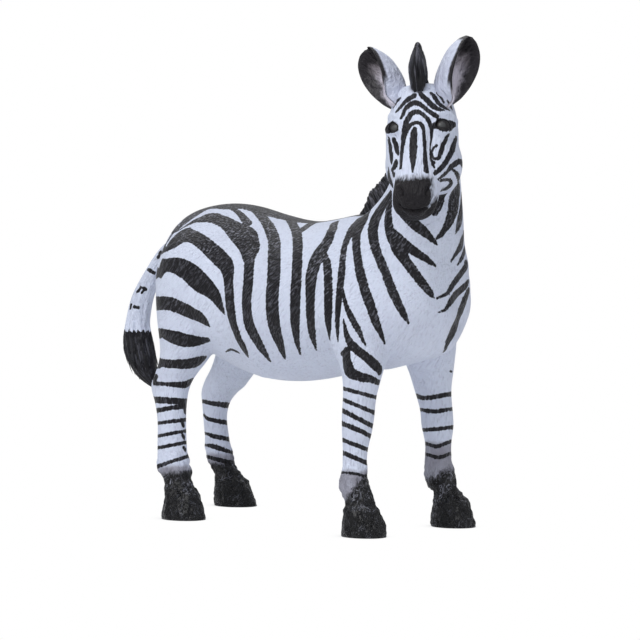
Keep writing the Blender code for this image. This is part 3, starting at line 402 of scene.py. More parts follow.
HEAD_RELIEF_PX: Relief = (
    (((386.5, 119), (391, 116), (396.5, 117), (401, 121)), 0.8, 0.34),
    (((430, 119), (436, 114.5), (444, 113), (452, 116), (456, 121)), 0.85, 0.36),
    (((404.5, 132), (403, 150), (402.5, 166)), 1.0, 0.22),
    (((424.5, 132), (426, 150), (427.5, 166)), 1.0, 0.22),
    (((433, 138), (431, 152), (432, 166)), 1.1, -0.3),
    (((397.5, 138), (398, 152), (398, 166)), 0.9, -0.26),
    (((438, 134), (436, 146), (437, 160)), 0.9, 0.2),
    (((396, 184), (404, 188), (414, 189), (424, 188), (433, 184)), 2.4, 0.15),
    (((396.5, 206), (401.5, 209.2), (412, 210.4), (424, 209), (431, 206.2), (435.5, 200)), 0.26, -0.5),
    (((402, 213), (412, 214.8), (423, 213.2)), 0.8, 0.22),
    (((403, 204.8), (413, 206), (424, 204.6)), 0.8, 0.16),
    (((400, 188.5), (402.3, 191.5), (402.6, 194.8)), 0.42, -0.62),
    (((429.3, 187.5), (427, 190.5), (426.6, 194)), 0.42, -0.62),
    (((398, 187), (401.5, 186.6), (404.4, 190.5), (404.4, 195)), 0.42, 0.22),
    (((431, 186), (427.5, 185.6), (424.6, 189.5), (424.8, 194)), 0.42, 0.22),
    (((444, 166), (452, 158), (458, 162)), 2.0, 0.3),
    (((436, 203), (435, 209), (430, 214)), 1.3, -0.9),
    (((396.5, 204), (398.5, 210), (403, 215)), 1.2, -0.7),
    (((404, 92), (411, 90.5), (418, 90), (426, 88.5), (434, 88.5)), 2.2, 0.7),
)


@dataclass(frozen=True)
class PhotoView:
    """The camera that took the photograph, in the modelling frame."""

    azimuth_deg: float = 46.0
    elevation_deg: float = 2.7
    distance: float = 750.0
    pixels_per_mm: float = 5.34
    target: tuple[float, float, float] = (2.8326, 2.3738, 37.6953)
    frame_px: float = 640.0
    sensor_mm: float = 36.0

    @property
    def back(self) -> np.ndarray:
        """Unit vector from the target to the camera."""
        a, e = math.radians(self.azimuth_deg), math.radians(self.elevation_deg)
        return np.array((math.sin(a) * math.cos(e), -math.cos(a) * math.cos(e), math.sin(e)))

    @property
    def right(self) -> np.ndarray:
        """Unit vector to the right of the picture."""
        a = math.radians(self.azimuth_deg)
        return np.array((math.cos(a), math.sin(a), 0.0))

    @property
    def up(self) -> np.ndarray:
        """Unit vector up the picture."""
        return np.cross(self.back, self.right)

    @property
    def position(self) -> np.ndarray:
        """Where the camera stands."""
        return np.array(self.target) + self.back * self.distance

    @property
    def focal_px(self) -> float:
        """Focal length in pixels."""
        return self.pixels_per_mm * self.distance

    def project(self, points: np.ndarray) -> np.ndarray:
        """Pixels at which points, one a row, are seen: a row of x and y for each."""
        offset = points - self.position
        depth = -(offset @ self.back)
        half = self.frame_px / 2
        x = half + self.focal_px * (offset @ self.right) / depth
        y = half - self.focal_px * (offset @ self.up) / depth
        return np.stack([x, y], axis=1)

    def ray(self, x: float, y: float) -> tuple[Vector, Vector]:
        """The line of sight through a pixel, as its start and its direction."""
        half = self.frame_px / 2
        way = -self.back * self.focal_px + self.right * (x - half) - self.up * (y - half)
        return Vector(self.position), Vector(way).normalized()

    def make_camera(self) -> None:
        """Adds the camera to the scene."""
        data = bpy.data.cameras.new("photo_camera")
        data.sensor_width = self.sensor_mm
        data.lens = self.focal_px * self.sensor_mm / self.frame_px
        data.clip_start, data.clip_end = 0.01, 50.0
        camera = bpy.data.objects.new("photo_camera", data)
        axes = Matrix((self.right, self.up, self.back)).transposed().to_4x4()
        camera.matrix_world = Matrix.Translation(TO_PACKED @ Vector(self.position)) @ axes
        bpy.context.scene.collection.objects.link(camera)
        bpy.context.scene.camera = camera


def spread(rows: Sequence[Row], per_span: int) -> list[np.ndarray]:
    """The rows of a table with smooth rows put in between them, so that each span becomes per_span rows."""
    table = [np.array(row, float) for row in rows]
    if len(table) < 2:
        return table
    ends = [2 * table[0] - table[1]] + table + [2 * table[-1] - table[-2]]
    out = []
    for i in range(1, len(ends) - 2):
        a, b, c, d = ends[i - 1 : i + 3]
        for k in range(per_span):
            t = k / per_span
            square, cube = 2 * a - 5 * b + 4 * c - d, 3 * b - a - 3 * c + d
            out.append((2 * b + (c - a) * t + square * t**2 + cube * t**3) / 2)
    out.append(table[-1])
    return out


def loft(bm: bmesh.types.BMesh, rings: Sequence[Sequence[Vector]]) -> None:
    """Skins a row of rings of equal count and closes both ends."""
    loops = [[bm.verts.new(p) for p in ring] for ring in rings]
    count = len(loops[0])
    for low, high in zip(loops, loops[1:]):
        for i in range(count):
            j = (i + 1) % count
            bm.faces.new((low[i], low[j], high[j], high[i]))
    for loop in (loops[0], loops[-1]):
        hub = bm.verts.new(sum((v.co for v in loop), Vector()) / count)
        for i in range(count):
            bm.faces.new((loop[i], loop[(i + 1) % count], hub))


def round_at(k: int, count: int) -> tuple[float, float]:
    """Cosine and sine at one of the equal steps of a circle."""
    return math.cos(math.tau * k / count), math.sin(math.tau * k / count)


def spin(degrees: float, axis: Any) -> Matrix:
    """A turn about an axis."""
    return Matrix.Rotation(math.radians(degrees), 3, axis)


def oval(
    centre: Vector, u: Vector, v: Vector, half_u: float, half_v: float, count: int, taper: float = 0.0
) -> list[Vector]:
    """A ring of points round a centre; taper narrows it across v towards +u."""
    points = []
    for i in range(count):
        c, s = round_at(i, count)
        points.append(centre + u * (half_u * c) + v * (half_v * s * (1 - taper * c)))
    return points


def to_object(name: str, bm: bmesh.types.BMesh) -> Object:
    """A scene object from a finished bmesh, its faces turned outwards."""
    bmesh.ops.recalc_face_normals(bm, faces=bm.faces)
    mesh = bpy.data.meshes.new(name)
    bm.to_mesh(mesh)
    bm.free()
    obj = bpy.data.objects.new(name, mesh)
    bpy.context.scene.collection.objects.link(obj)
    return obj


def bake(obj: Object) -> None:
    """Puts the result of an object's modifiers into its mesh."""
    bpy.context.view_layer.update()
    graph = bpy.context.evaluated_depsgraph_get()
    mesh = bpy.data.meshes.new_from_object(obj.evaluated_get(graph))
    obj.modifiers.clear()
    old, obj.data = obj.data, mesh
    bpy.data.meshes.remove(old)


def points_of(obj: Object) -> np.ndarray:
    """The positions of an object's points, one a row."""
    out = np.empty(len(obj.data.vertices) * 3)
    obj.data.vertices.foreach_get("co", out)
    return out.reshape(-1, 3)


def normals_of(obj: Object) -> np.ndarray:
    """The normals at an object's points, one a row."""
    out = np.empty(len(obj.data.vertices) * 3)
    obj.data.vertices.foreach_get("normal", out)
    return out.reshape(-1, 3)


def set_points(obj: Object, points: np.ndarray) -> None:
    """Moves an object's points."""
    obj.data.vertices.foreach_set("co", points.ravel())
    obj.data.update()


def with_ends(values: Sequence[Any]) -> np.ndarray:
    """The values of a loft's rings, and those of the two points that close it."""
    return np.array([*values, values[0], values[-1]])


def set_values(obj: Object, attr: Attr, values: np.ndarray) -> None:
    """Stores one number, or one vector, for each point of an object."""
    vector = values.ndim == 2
    layer = obj.data.attributes.new(attr.value, "FLOAT_VECTOR" if vector else "FLOAT", "POINT")
    layer.data.foreach_set("vector" if vector else "value", values.astype(np.float32).ravel())


def keep_side(obj: Object, point: Vector, normal: Vector) -> None:
    """Cuts an object by a plane, keeps the side that the normal points to, and closes the cut."""
    bm = bmesh.new()
    bm.from_mesh(obj.data)
    geometry = bm.verts[:] + bm.edges[:] + bm.faces[:]
    cut = bmesh.ops.bisect_plane(
        bm, geom=geometry, plane_co=point, plane_no=normal, clear_inner=True, dist=1e-5
    )
    rim = [g for g in cut["geom_cut"] if isinstance(g, bmesh.types.BMEdge)]
    bmesh.ops.triangle_fill(bm, use_beauty=True, use_dissolve=False, edges=rim, normal=-Vector(normal))
    bm.to_mesh(obj.data)
    bm.free()


def copy_of(obj: Object, name: str) -> Object:
    """A second object with its own mesh."""
    twin = obj.copy()
    twin.data = obj.data.copy()
    twin.name = name
    bpy.context.scene.collection.objects.link(twin)
    return twin


def tree_of(*objs: Object) -> BVHTree:
    """One search tree over the faces of the objects."""
    verts: list[Any] = []
    faces: list[tuple[int, ...]] = []
    for obj in objs:
        base = len(verts)
        verts += [v.co[:] for v in obj.data.vertices]
        faces += [tuple(base + i for i in p.vertices) for p in obj.data.polygons]
    return BVHTree.FromPolygons(verts, faces)


def smooth_step(values: np.ndarray, low: float, high: float) -> np.ndarray:
    """0 below low, 1 above high and an eased slope between; low may be the larger."""
    t = np.clip((values - low) / (high - low), 0, 1)
    return t * t * (3 - 2 * t)


def path_distance(points: np.ndarray, path: np.ndarray, radii: np.ndarray) -> np.ndarray:
    """Distance from each point to a path, less the path's radius there.

    Args:
        points: positions, one a row, of two or three coordinates.
        path: the path's points in the same coordinates.
        radii: the path's radius at each of its points.

    Returns:
        One distance for each point, negative inside.
    """
    best = np.full(len(points), np.inf)
    for k in range(len(path) - 1):
        a, ab = path[k], path[k + 1] - path[k]
        t = np.clip(((points - a) @ ab) / max(float(ab @ ab), 1e-12), 0, 1)
        gap = np.linalg.norm(points - a - t[:, None] * ab, axis=1)
        best = np.minimum(best, gap - (radii[k] + (radii[k + 1] - radii[k]) * t))
    return best


def add_node(tree: bpy.types.NodeTree, kind: str, settings: Settings = None, inputs: Inputs = None) -> Any:
    """Adds a node to a tree, with its properties, and values or sockets by input name or index."""
    node = tree.nodes.new(kind)
    for key, value in (settings or {}).items():
        setattr(node, key, value)
    for key, value in (inputs or {}).items():
        source = value.output if isinstance(value, Socket) else value
        if isinstance(source, bpy.types.NodeSocket):
            tree.links.new(source, node.inputs[key])
        else:
            node.inputs[key].default_value = source
    return node


class Socket:
    """A node's output that takes part in Python arithmetic."""

    def __init__(self, graph: "Graph", output: bpy.types.NodeSocket) -> None:
        """Keeps the graph that new nodes go into, and the output."""
        self.graph = graph
        self.output = output

    def __add__(self, other: Any) -> "Socket":
        """Sum."""
        return self.graph.math("ADD", self, other)

    __radd__ = __add__

    def __mul__(self, other: Any) -> "Socket":
        """Product."""
        return self.graph.math("MULTIPLY", self, other)

    __rmul__ = __mul__

    def __sub__(self, other: Any) -> "Socket":
        """Difference."""
        return self.graph.math("SUBTRACT", self, other)

    def __rsub__(self, other: Any) -> "Socket":
        """Difference from a plain number."""
        return self.graph.math("SUBTRACT", other, self)

    def step(self, low: float, high: float) -> "Socket":
        """0 below low to 1 above high, eased; low may be the larger."""
        return self.graph.first(
            "ShaderNodeMapRange", {"interpolation_type": "SMOOTHSTEP"},
            {"Value": self, "From Min": low, "From Max": high, "To Min": 0.0, "To Max": 1.0},
        )


class Graph:
    """A material's node tree in the making."""

    def __init__(self, name: str) -> None:
        """Starts a material with an empty tree."""
        self.material = bpy.data.materials.new(name)
        self.material.use_nodes = True
        self.tree = self.material.node_tree
        self.tree.nodes.clear()
        self.place = Socket(self, self.node("ShaderNodeTexCoord").outputs["Object"])

    def node(self, kind: str, settings: Settings = None, inputs: Inputs = None) -> Any:
        """Adds a node with its settings and its values or sockets by input."""
        return add_node(self.tree, kind, settings, inputs)

    def first(self, kind: str, settings: Settings, inputs: Inputs) -> Socket:
        """The first output of a new node."""
        return Socket(self, self.node(kind, settings, inputs).outputs[0])

    def math(self, operation: str, a: Any, b: Any) -> Socket:
        """One arithmetic step."""
        return self.first("ShaderNodeMath", {"operation": operation}, {0: a, 1: b})

    def most(self, a: Any, b: Any) -> Socket:
        """The larger of two values."""
        return self.math("MAXIMUM", a, b)

    def mix(self, factor: Any, a: Any, b: Any) -> Socket:
        """Two colours mixed."""
        colours = {6: a if isinstance(a, Socket) else (*a, 1.0), 7: b if isinstance(b, Socket) else (*b, 1.0)}
        node = self.node("ShaderNodeMix", {"data_type": "RGBA"}, {0: factor, **colours})
        return Socket(self, node.outputs[2])

    def value(self, attr: Attr) -> Socket:
        """A number that the piece's points carry."""
        return Socket(self, self.carried(attr).outputs["Fac"])

    def carried(self, attr: Attr) -> bpy.types.Node:
        """The node that reads what the piece's points carry."""
        return self.node("ShaderNodeAttribute", {"attribute_type": "GEOMETRY", "attribute_name": attr.value})

    def fur(self, per_mm: Row) -> Socket:
        """The place along the hair's own axes, scaled for noise that runs with the hair."""
        place = self.carried(Attr.FUR).outputs["Vector"]
        return self.first("ShaderNodeMapping", None, {"Vector": place, "Scale": per_mm})

    def noise(
        self, vector: Socket, scale: float, detail: float, roughness: float = 0.5, twist: float = 0.0
    ) -> Socket:
        """Smooth noise from 0 to 1."""
        return self.first(
            "ShaderNodeTexNoise", None,
            {"Vector": vector, "Scale": scale, "Detail": detail, "Roughness": roughness, "Distortion": twist},
        )

    def bump(self, height: Socket, distance: float) -> Socket:
        """A normal bent by a height."""
        return self.first("ShaderNodeBump", None, {"Height": height, "Distance": distance})

    def close(
        self, base: Socket, roughness: Any, normal: Socket | None, coat: Any = 0.0, **constants: float
    ) -> bpy.types.Material:
        """Adds the surface shader and ends the tree.

        Args:
            base: the colour.
            roughness: a value or a socket.
            normal: the bent normal, if there is one.
            coat: weight of the clear coat.
            constants: other inputs of the shader, with _ for a space.

        Returns:
            The material.
        """
        inputs: dict[Any, Any] = {"Base Color": base, "Roughness": roughness, "Coat Weight": coat}
        if normal is not None:
            inputs["Normal"] = normal
        inputs.update({key.replace("_", " "): value for key, value in constants.items()})
        self.node("ShaderNodeOutputMaterial", None, {0: self.first("ShaderNodeBsdfPrincipled", None, inputs)})
        return self.material


@dataclass(frozen=True)
class CoatFinish:
    """Painted vinyl: cool white with dark stripes, a charcoal muzzle and black hooves, over moulded fur."""

    white: Row = (0.62, 0.67, 0.80)
    # the white's painted shade, also used for its random darker tone
    shade: Row = (0.42, 0.43, 0.55)
    paint: Row = (0.008, 0.0075, 0.010)
    # colour of the painted highlights on the black paint
    paint_glint: Row = (0.19, 0.195, 0.235)
    muzzle: Row = (0.012, 0.010, 0.012)
    grey: Row = (0.20, 0.19, 0.225)
    black: Row = (0.006, 0.006, 0.007)
    # colour of the painted highlights on the black feet
    silver_glint: Row = (0.25, 0.255, 0.30)
    # colour of the painted shade where pieces meet
    joint: Row = (0.07, 0.07, 0.09)
    strokes_per_mm: Row = (2.5, 2.5, 0.60)
    wisps_per_mm: Row = (4.4, 4.4, 1.3)
    scribbles_per_mm: Row = (0.95, 0.95, 0.55)
    edge_mm: float = 0.30
    soft_mm: float = 0.10
    relief_m: float = 0.0006

    def build(self, name: str) -> bpy.types.Material:
        """Makes the material."""
        g = Graph(name)
        strokes = g.noise(g.fur(self.strokes_per_mm), 1.0, 1.5, 0.5, 0.35)
        wisps = g.noise(g.fur(self.wisps_per_mm), 1.0, 1.0, 0.5, 0.2)
        broad = g.noise(g.place, 95.0, 3.0, 0.55)
        blotch = g.noise(g.place, 420.0, 3.0, 0.6)
        stripe, dip, muzzle = g.value(Attr.STRIPE), g.value(Attr.DIP), g.value(Attr.MUZZLE)
        fur = strokes * 0.65 + wisps * 0.35
        lit = broad.step(0.40, 0.62)

        ragged = stripe + (fur - 0.5) * (self.edge_mm * 2) + (blotch - 0.5) * (self.edge_mm * 0.5)
        painted = ragged.step(self.soft_mm / 2, -self.soft_mm / 2)
        muzzled = (muzzle + (fur - 0.5) * 1.8 + (blotch - 0.5) * 2.2).step(0.75, -0.65)
        greyed = (dip + (blotch - 0.5) * 0.35 + (fur - 0.5) * 0.3).step(0.12, 0.55)
        blacked = (dip + (blotch - 0.5) * 0.34 + (fur - 0.5) * 0.5).step(0.64, 0.84)

        # The white, darker in random broad patches and with painted shade in the troughs of the fur strokes
        coat = g.mix((broad * 1.4 - 0.45) * 0.4 + fur.step(0.50, 0.30) * 0.42, self.white, self.shade)
        # Painted highlight: the peaks of the fur strokes are lighter in the black paint, more in random
        # patches and where the highlight share is high, in place of glints of light
        painted_highlights = fur.step(0.51, 0.62) * (0.35 + lit * 0.65) * g.value(Attr.PAINTED_GLINT)
        ink = g.mix(painted_highlights, self.paint, self.paint_glint)
        colour = g.mix(greyed * (0.55 + blotch * 0.5), coat, self.grey)
        colour = g.mix(painted, colour, ink)
        colour = g.mix(muzzled, colour, g.mix(broad, self.muzzle, self.paint))
        curl = g.noise(g.fur(self.scribbles_per_mm), 1.0, 2.5, 0.6, 0.9)
        scribble = g.math("ABSOLUTE", curl - 0.5, 0.0).step(0.050, 0.012)
        # Painted highlight: silver scribbles and the peaks of the fur strokes are lighter on the black of the
        # feet, in place of glints on the hair, fewer on the hoof
        silver_glint_mask = scribble * blotch.step(0.43, 0.62) * 0.80 + fur.step(0.60, 0.72) * 0.04
        silver_glint_mask = silver_glint_mask * (1.0 - dip.step(1.1, 1.4) * 0.62)
        colour = g.mix(blacked, colour, g.mix(silver_glint_mask, self.black, self.silver_glint))
        # Painted shade where a piece meets its neighbour
        colour = g.mix(g.value(Attr.NEAR) * 0.75, colour, self.joint)

        dark = g.most(painted, g.most(muzzled, blacked))
        roughness = 0.50 - dark * 0.13 + (broad - 0.5) * 0.08 + muzzled * 0.16 - blacked * 0.10
        relief = fur + blotch * 0.30 - painted * 0.05 + (blotch * 0.6 + scribble * 0.8) * blacked
        bent = g.bump(relief, self.relief_m)
        return g.close(colour, roughness, bent, blacked * 0.20, Coat_Roughness=0.25, Specular_IOR_Level=0.20)


@dataclass(frozen=True)
class HairFinish:
    """Dark moulded hair with painted highlights on the ridges of its strands."""

    dark: Row = (0.008, 0.008, 0.010)
    # colour of the painted highlights on the strands' ridges
    ridge: Row = (0.135, 0.135, 0.165)
    strands_per_mm: Row = (1.9, 1.9, 0.16)
    relief_m: float = 0.0006

    def build(self, name: str) -> bpy.types.Material:
        """Makes the material."""
        g = Graph(name)
        strand = g.value(Attr.STRAND)
        lines = g.noise(g.fur(self.strands_per_mm), 1.0, 2.5, 0.6, 0.25)
        broad = g.noise(g.place, 260.0, 2.0)
        # Painted highlight: lighter on the peaks of the strand lines and where the strand value is high, with
        # some locks lighter at random
        painted_highlights = strand.step(0.45, 0.95) * 0.28 + lines.step(0.52, 0.63) * 0.62
        colour = g.mix(painted_highlights, self.dark, self.ridge)
        roughness = 0.46 + (broad - 0.5) * 0.16
        bent = g.bump(lines + strand * 0.3, self.relief_m)
        return g.close(colour, roughness, bent, 0.0, Specular_IOR_Level=0.20)


@dataclass(frozen=True)
class EarFinish:
    """White outside, dark at the tip and the outer rim, pale lilac and brown in the cup."""

    white: Row = (0.60, 0.645, 0.78)
    shade: Row = (0.42, 0.43, 0.56)
    dark: Row = (0.024, 0.022, 0.026)
    pale: Row = (0.62, 0.59, 0.68)
    brown: Row = (0.20, 0.18, 0.20)
    band: float = -0.52
    fur_per_mm: Row = (2.6, 2.6, 0.7)
    relief_m: float = 0.00045

    def build(self, name: str) -> bpy.types.Material:
        """Makes the material."""
        g = Graph(name)
        inner, across, along = g.value(Attr.INNER), g.value(Attr.ACROSS), g.value(Attr.ALONG)
        fur = g.noise(g.fur(self.fur_per_mm), 1.0, 2.0, 0.6, 0.3)
        broad = g.noise(g.place, 330.0, 3.0, 0.6)
        # The back's white, with painted shade in the troughs of the fur, and darker towards the root
        back = g.mix(fur.step(0.6, 0.3) * 0.4 + (1.0 - along) * 0.3, self.white, self.shade)
        rough = (fur - 0.5) * 0.25 + (broad - 0.5) * 0.5
        cup = g.mix((broad - 0.5) * 1.6 + fur * 0.2 + along.step(0.40, 0.62) * 0.8, self.pale, self.brown)
        outer = (across + rough).step(self.band, self.band - 0.25)
        tip = (along + rough * 0.4).step(0.62, 0.80)
        lined = (across + rough * 0.25).step(0.80, 0.90) * along.step(0.06, 0.20)
        edge = g.most(outer, g.most(tip, lined))
        cup = g.mix(edge, cup, self.dark)
        rim = (across + rough * 0.1).step(0.95, 0.985) + (across + rough * 0.1).step(-0.95, -0.985)
        crown = (along + rough * 0.2).step(0.86, 0.93)
        back = g.mix(g.most(rim * along.step(0.12, 0.28), crown * across.step(-0.2, 0.4)), back, self.dark)
        back = g.mix((g.value(Attr.STRIPE) + (fur - 0.5) * 0.3).step(0.05, -0.05), back, self.dark)
        colour = g.mix(inner.step(0.40, 0.60), back, cup)
        # Painted shade where the ear meets the head
        colour = g.mix(g.value(Attr.NEAR), colour, self.dark)
        return g.close(colour, 0.5, g.bump(fur, self.relief_m), 0.0, Specular_IOR_Level=0.3)


@dataclass(frozen=True)
class EyeFinish:
    """A glossy dark eye with a dull iris."""

    ball: Row = (0.008, 0.007, 0.008)
    iris: Row = (0.046, 0.048, 0.050)

    def build(self, name: str) -> bpy.types.Material:
        """Makes the material."""
        g = Graph(name)
        grain = g.noise(g.place, 3200.0, 2.0)
        iris = (g.value(Attr.GAZE) + (grain - 0.5) * 0.5).step(1.08, 0.62)
        colour = g.mix(iris * (0.6 + grain * 0.6), self.ball, self.iris)
        return g.close(colour, 0.48 + grain * 0.10, None, 0.22, Coat_Roughness=0.2, Specular_IOR_Level=0.3)


@dataclass
class Skin:
    """The flesh of the figure: one fine skin, later parted into the mouldings."""

    grid: float = 0.36
    smoothing: int = 27
    view: PhotoView = field(default_factory=PhotoView)

    def head_frame(self) -> Matrix:
        """From the head's own axes (down the face, to the left, out of the face) to the figure."""
        turn = Matrix.Rotation(HEAD_TURN, 3, "Z")
        dip = Matrix.Rotation(HEAD_DIP, 3, "Y")
        roll = Matrix.Rotation(HEAD_ROLL, 3, turn @ FORE)
        return Matrix.Translation(POLL) @ (roll @ turn @ dip).to_4x4()

    def trunk_rings(self) -> list[list[Vector]]:
        """Sections of the barrel from the rump to the point of the chest."""
        return [
            oval(Vector((x, 0, (top + low) / 2)), UP, LEFT, (top - low) / 2, half, 48, TRUNK_TAPER)
            for x, top, low, half in spread(TRUNK_ROWS, 4)
        ]

    def neck_rings(self) -> list[list[Vector]]:
        """Sections of the neck, leaning and turning on the way up."""
        rings = []
        for x, y, z, depth, half, lean, turn in spread(NECK_ROWS, 6):
            turned = spin(-turn, "Z") @ spin(lean, "Y")
            rings.append(oval(Vector((x, y, z)), turned @ FORE, turned @ LEFT, depth, half, 36))
        return rings

    def leg_rings(self, rows: Path, side: int) -> list[list[Vector]]:
        """Sections of a leg from inside the body down past the sole."""
        rings = [
            oval(Vector((x, side * y, z)), FORE, LEFT, depth / 2, width / 2, 32)
            for z, x, y, depth, width in spread(rows, 4)
        ]
        rings.append([p - UP * 1.2 for p in rings[-1]])
        return rings

    def head_rings(self) -> list[list[Vector]]:
        """Sections of the head, broad across the brow and narrow towards the muzzle."""
        to_figure = self.head_frame()
        rings = []
        for down, face, under, half, flat in spread(HEAD_ROWS, 4):
            middle, reach = (face + under) / 2, (face - under) / 2
            ring = []
            for i in range(40):
                c, s = round_at(i, 40)
                wide = half * (1 - (1 - flat) * max(c, 0) ** 2) * math.copysign(abs(s) ** 0.9, s)
                ring.append(to_figure @ Vector((down, wide, middle + reach * c)))
            rings.append(ring)
        return rings

    def build(self) -> Object:
        """The skin in millimetres: the forms joined on a fine grid and smoothed."""
        bm = bmesh.new()
        loft(bm, self.trunk_rings())
        loft(bm, self.neck_rings())
        for leg in LEGS.values():
            loft(bm, self.leg_rings(leg.rows, leg.side))
        loft(bm, self.head_rings())
        to_figure = self.head_frame()
        for side, (down, out, deep, radius, *shares) in itertools.product((-1, 1), (EYE_BULGE, JAW_BULGE)):
            spot = Matrix.Translation(Vector((down, side * out, deep)))
            size = Matrix.Diagonal((*(s * radius for s in shares), 1))
            bmesh.ops.create_icosphere(bm, subdivisions=3, radius=1, matrix=to_figure @ spot @ size)
        skin = to_object("skin", bm)
        remesh = skin.modifiers.new("join", "REMESH")
        remesh.mode, remesh.voxel_size, remesh.adaptivity = "VOXEL", self.grid, 0
        smooth = skin.modifiers.new("smooth", "SMOOTH")
        smooth.factor, smooth.iterations = 0.5, self.smoothing
        bake(skin)
        return skin

    def carve(self, obj: Object, relief: Relief, tree: BVHTree, mirror: bool) -> None:
        """Raises ridges and sinks grooves along paths seen in the photograph.

        Args:
            obj: the object whose points move.
            relief: path in pixels, width and height in millimetres.
            tree: the surface that the paths are laid on.
            mirror: whether the animal's other side gets them too.
        """
        points, normals = points_of(obj), normals_of(obj)
        move = np.zeros(len(points))
        for pixels, width, height in relief:
            laid = [tree.ray_cast(*self.view.ray(x, y))[0] for x, y in spread(pixels, 4)]
            path = np.array([p for p in laid if p is not None])
            for sign in (1, -1) if mirror else (1,):
                gap = path_distance(points, path * (1, sign, 1), np.zeros(len(path)))
                move += height * np.exp(-((gap / width) ** 2))
        set_points(obj, points + normals * move[:, None])


@dataclass(frozen=True)
class LegPlan:
    """One leg: its sections, its side of the animal and the height at which it parts from the trunk."""

    rows: Path
    side: int
    cut: float
    fore: bool

    def holds(self, points: np.ndarray) -> np.ndarray:
        """Which points below the cut are the leg's and not the belly's."""
        along = points[:, 0] > 16.5 if self.fore else points[:, 0] < -11.0
        return along & (points[:, 1] * self.side > 2.0) & (points[:, 2] < self.cut)


LEGS = {
    "right_foreleg": LegPlan(RIGHT_FORE_ROWS, -1, 28.8, True),
    "left_foreleg": LegPlan(LEFT_FORE_ROWS, 1, 28.8, True),
    "right_hind_leg": LegPlan(RIGHT_HIND_ROWS, -1, 27.2, False),
    "left_hind_leg": LegPlan(LEFT_HIND_ROWS, 1, 27.2, False),
}


@dataclass(frozen=True)
class Feet:
    """Works the fetlocks and hooves: tufts, a rim at the top of the hoof and rough strokes of hair."""

    top: float = 14.5
    rim: float = 4.6
    tufts: float = 0.44
    grain: float = 0.15
    rim_height: float = 0.16

    def shape(self, leg: Object) -> None:
        """Raises the tufts and the rim on a leg's moulding."""
        finer = leg.modifiers.new("finer", "SUBSURF")
        finer.subdivision_type = "SIMPLE"
        finer.levels = finer.render_levels = 1
        bake(leg)
        points, normals = points_of(leg), normals_of(leg)
        low = np.flatnonzero(points[:, 2] < self.top)
        move = np.zeros(len(points))
        for i in low:
            x, y, z = points[i]
            reach = min(max((self.top - z) / 4, 0), 1)
            on_hoof = min(max((self.rim - z) / 1.2, 0), 1)
            tuft = noise.noise(Vector((x * 0.75, y * 0.75, z * 0.34)))
            tuft += 0.6 * noise.noise(Vector((x * 1.5 + 9, y * 1.5, z * 0.6)))
            grain = noise.noise(Vector((x * 2.6, y * 2.6, z * 1.0 + 4)))
            rim = math.exp(-(((z - self.rim) / 0.55) ** 2))
            strokes = self.tufts * tuft * (1 - 0.45 * on_hoof) + self.grain * grain
            move[i] = (reach * strokes + self.rim_height * rim) * min(z / 0.5, 1)
        set_points(leg, points + normals * move[:, None])


@dataclass
class Mouldings:
    """Parts the skin into trunk, neck, head and legs, with a hairline seam between them."""

    seam: float = 0.016

    def delete_points(self, obj: Object, gone: np.ndarray, close: float | None = None) -> None:
        """Removes points, and closes the hole left at a height where one is given."""
        bm = bmesh.new()
        bm.from_mesh(obj.data)
        bmesh.ops.delete(bm, geom=[v for v, g in zip(bm.verts, gone) if g], context="VERTS")
        if close is not None:
            rim = [e for e in bm.edges if e.is_boundary and abs(e.verts[0].co.z - close) < 0.01]
            bmesh.ops.triangle_fill(bm, use_beauty=True, use_dissolve=False, edges=rim, normal=-UP)
        bm.to_mesh(obj.data)
        bm.free()

    def leg(self, skin: Object, name: str, plan: LegPlan) -> Object:
        """Cuts one leg out of the skin."""
        leg = copy_of(skin, name)
        self.delete_points(leg, points_of(leg)[:, 2] > plan.cut + 2)
        keep_side(leg, Vector((0, 0, plan.cut - self.seam / 2)), -UP)
        self.delete_points(leg, ~plan.holds(points_of(leg)))
        keep_side(leg, Vector(), UP)
        return leg

    def trunk(self, skin: Object, base: Vector, rise: Vector) -> Object:
        """Cuts the trunk out of the skin, with its legs and neck taken off."""
        trunk = copy_of(skin, "trunk")
        keep_side(trunk, base - rise * (self.seam / 2), -rise)
        for plan in LEGS.values():
            height = plan.cut + self.seam / 2
            bm = bmesh.new()
            bm.from_mesh(trunk.data)
            low = []
            for face in bm.faces:
                middle = face.calc_center_median()
                if abs(middle.z - height) < 1.5 and middle.y * plan.side > 2:
                    low.append(face)
            geometry = list({v for f in low for v in f.verts} | {e for f in low for e in f.edges}) + low
            bmesh.ops.bisect_plane(bm, geom=geometry, plane_co=(0, 0, height), plane_no=(0, 0, 1), dist=1e-5)
            bm.to_mesh(trunk.data)
            bm.free()
            points = points_of(trunk)
            points[:, 2] += plan.cut - height + 1e-3
            self.delete_points(trunk, plan.holds(points), height)
        return trunk

    def build(self, skin: Object) -> dict[str, Object]:
        """The mouldings parted from the skin, by the name of the solid that each stands for."""
        base = (WITHERS + CHEST) / 2
        rise = LEFT.cross(WITHERS - CHEST).normalized()
        facing = Matrix.Rotation(HEAD_TURN, 3, "Z") @ FORE
        nape = POLL + facing * NAPE[0] + UP * NAPE[1]
        throat = POLL + facing * THROAT[0] + UP * THROAT[1]
        onward = facing.cross(UP).cross(nape - throat).normalized()
        onward = onward if onward.z > 0 else -onward
        joint = (nape + throat) / 2
        half = self.seam / 2

        out = {name: self.leg(skin, name, plan) for name, plan in LEGS.items()}
        out["trunk"] = self.trunk(skin, base, rise)
        neck = copy_of(skin, "neck")
        keep_side(neck, base + rise * half, rise)
        keep_side(neck, joint - onward * half, -onward)
        head = copy_of(skin, "head")
        keep_side(head, base, rise)
        keep_side(head, joint + onward * half, onward)
        out["neck"], out["head"] = neck, head
        return out


def leg_at(rows: Path, height: float) -> float:
    """How far forward the middle of a leg is at a height."""
    return float(np.interp(-height, [-row[0] for row in rows], [row[1] for row in rows]))


def neck_at(height: float, *columns: int) -> Iterator[float]:
    """Values of the neck's sections at a height."""
    rows = np.array(NECK_ROWS)
    return (float(np.interp(height, rows[:, 2], rows[:, k])) for k in columns)


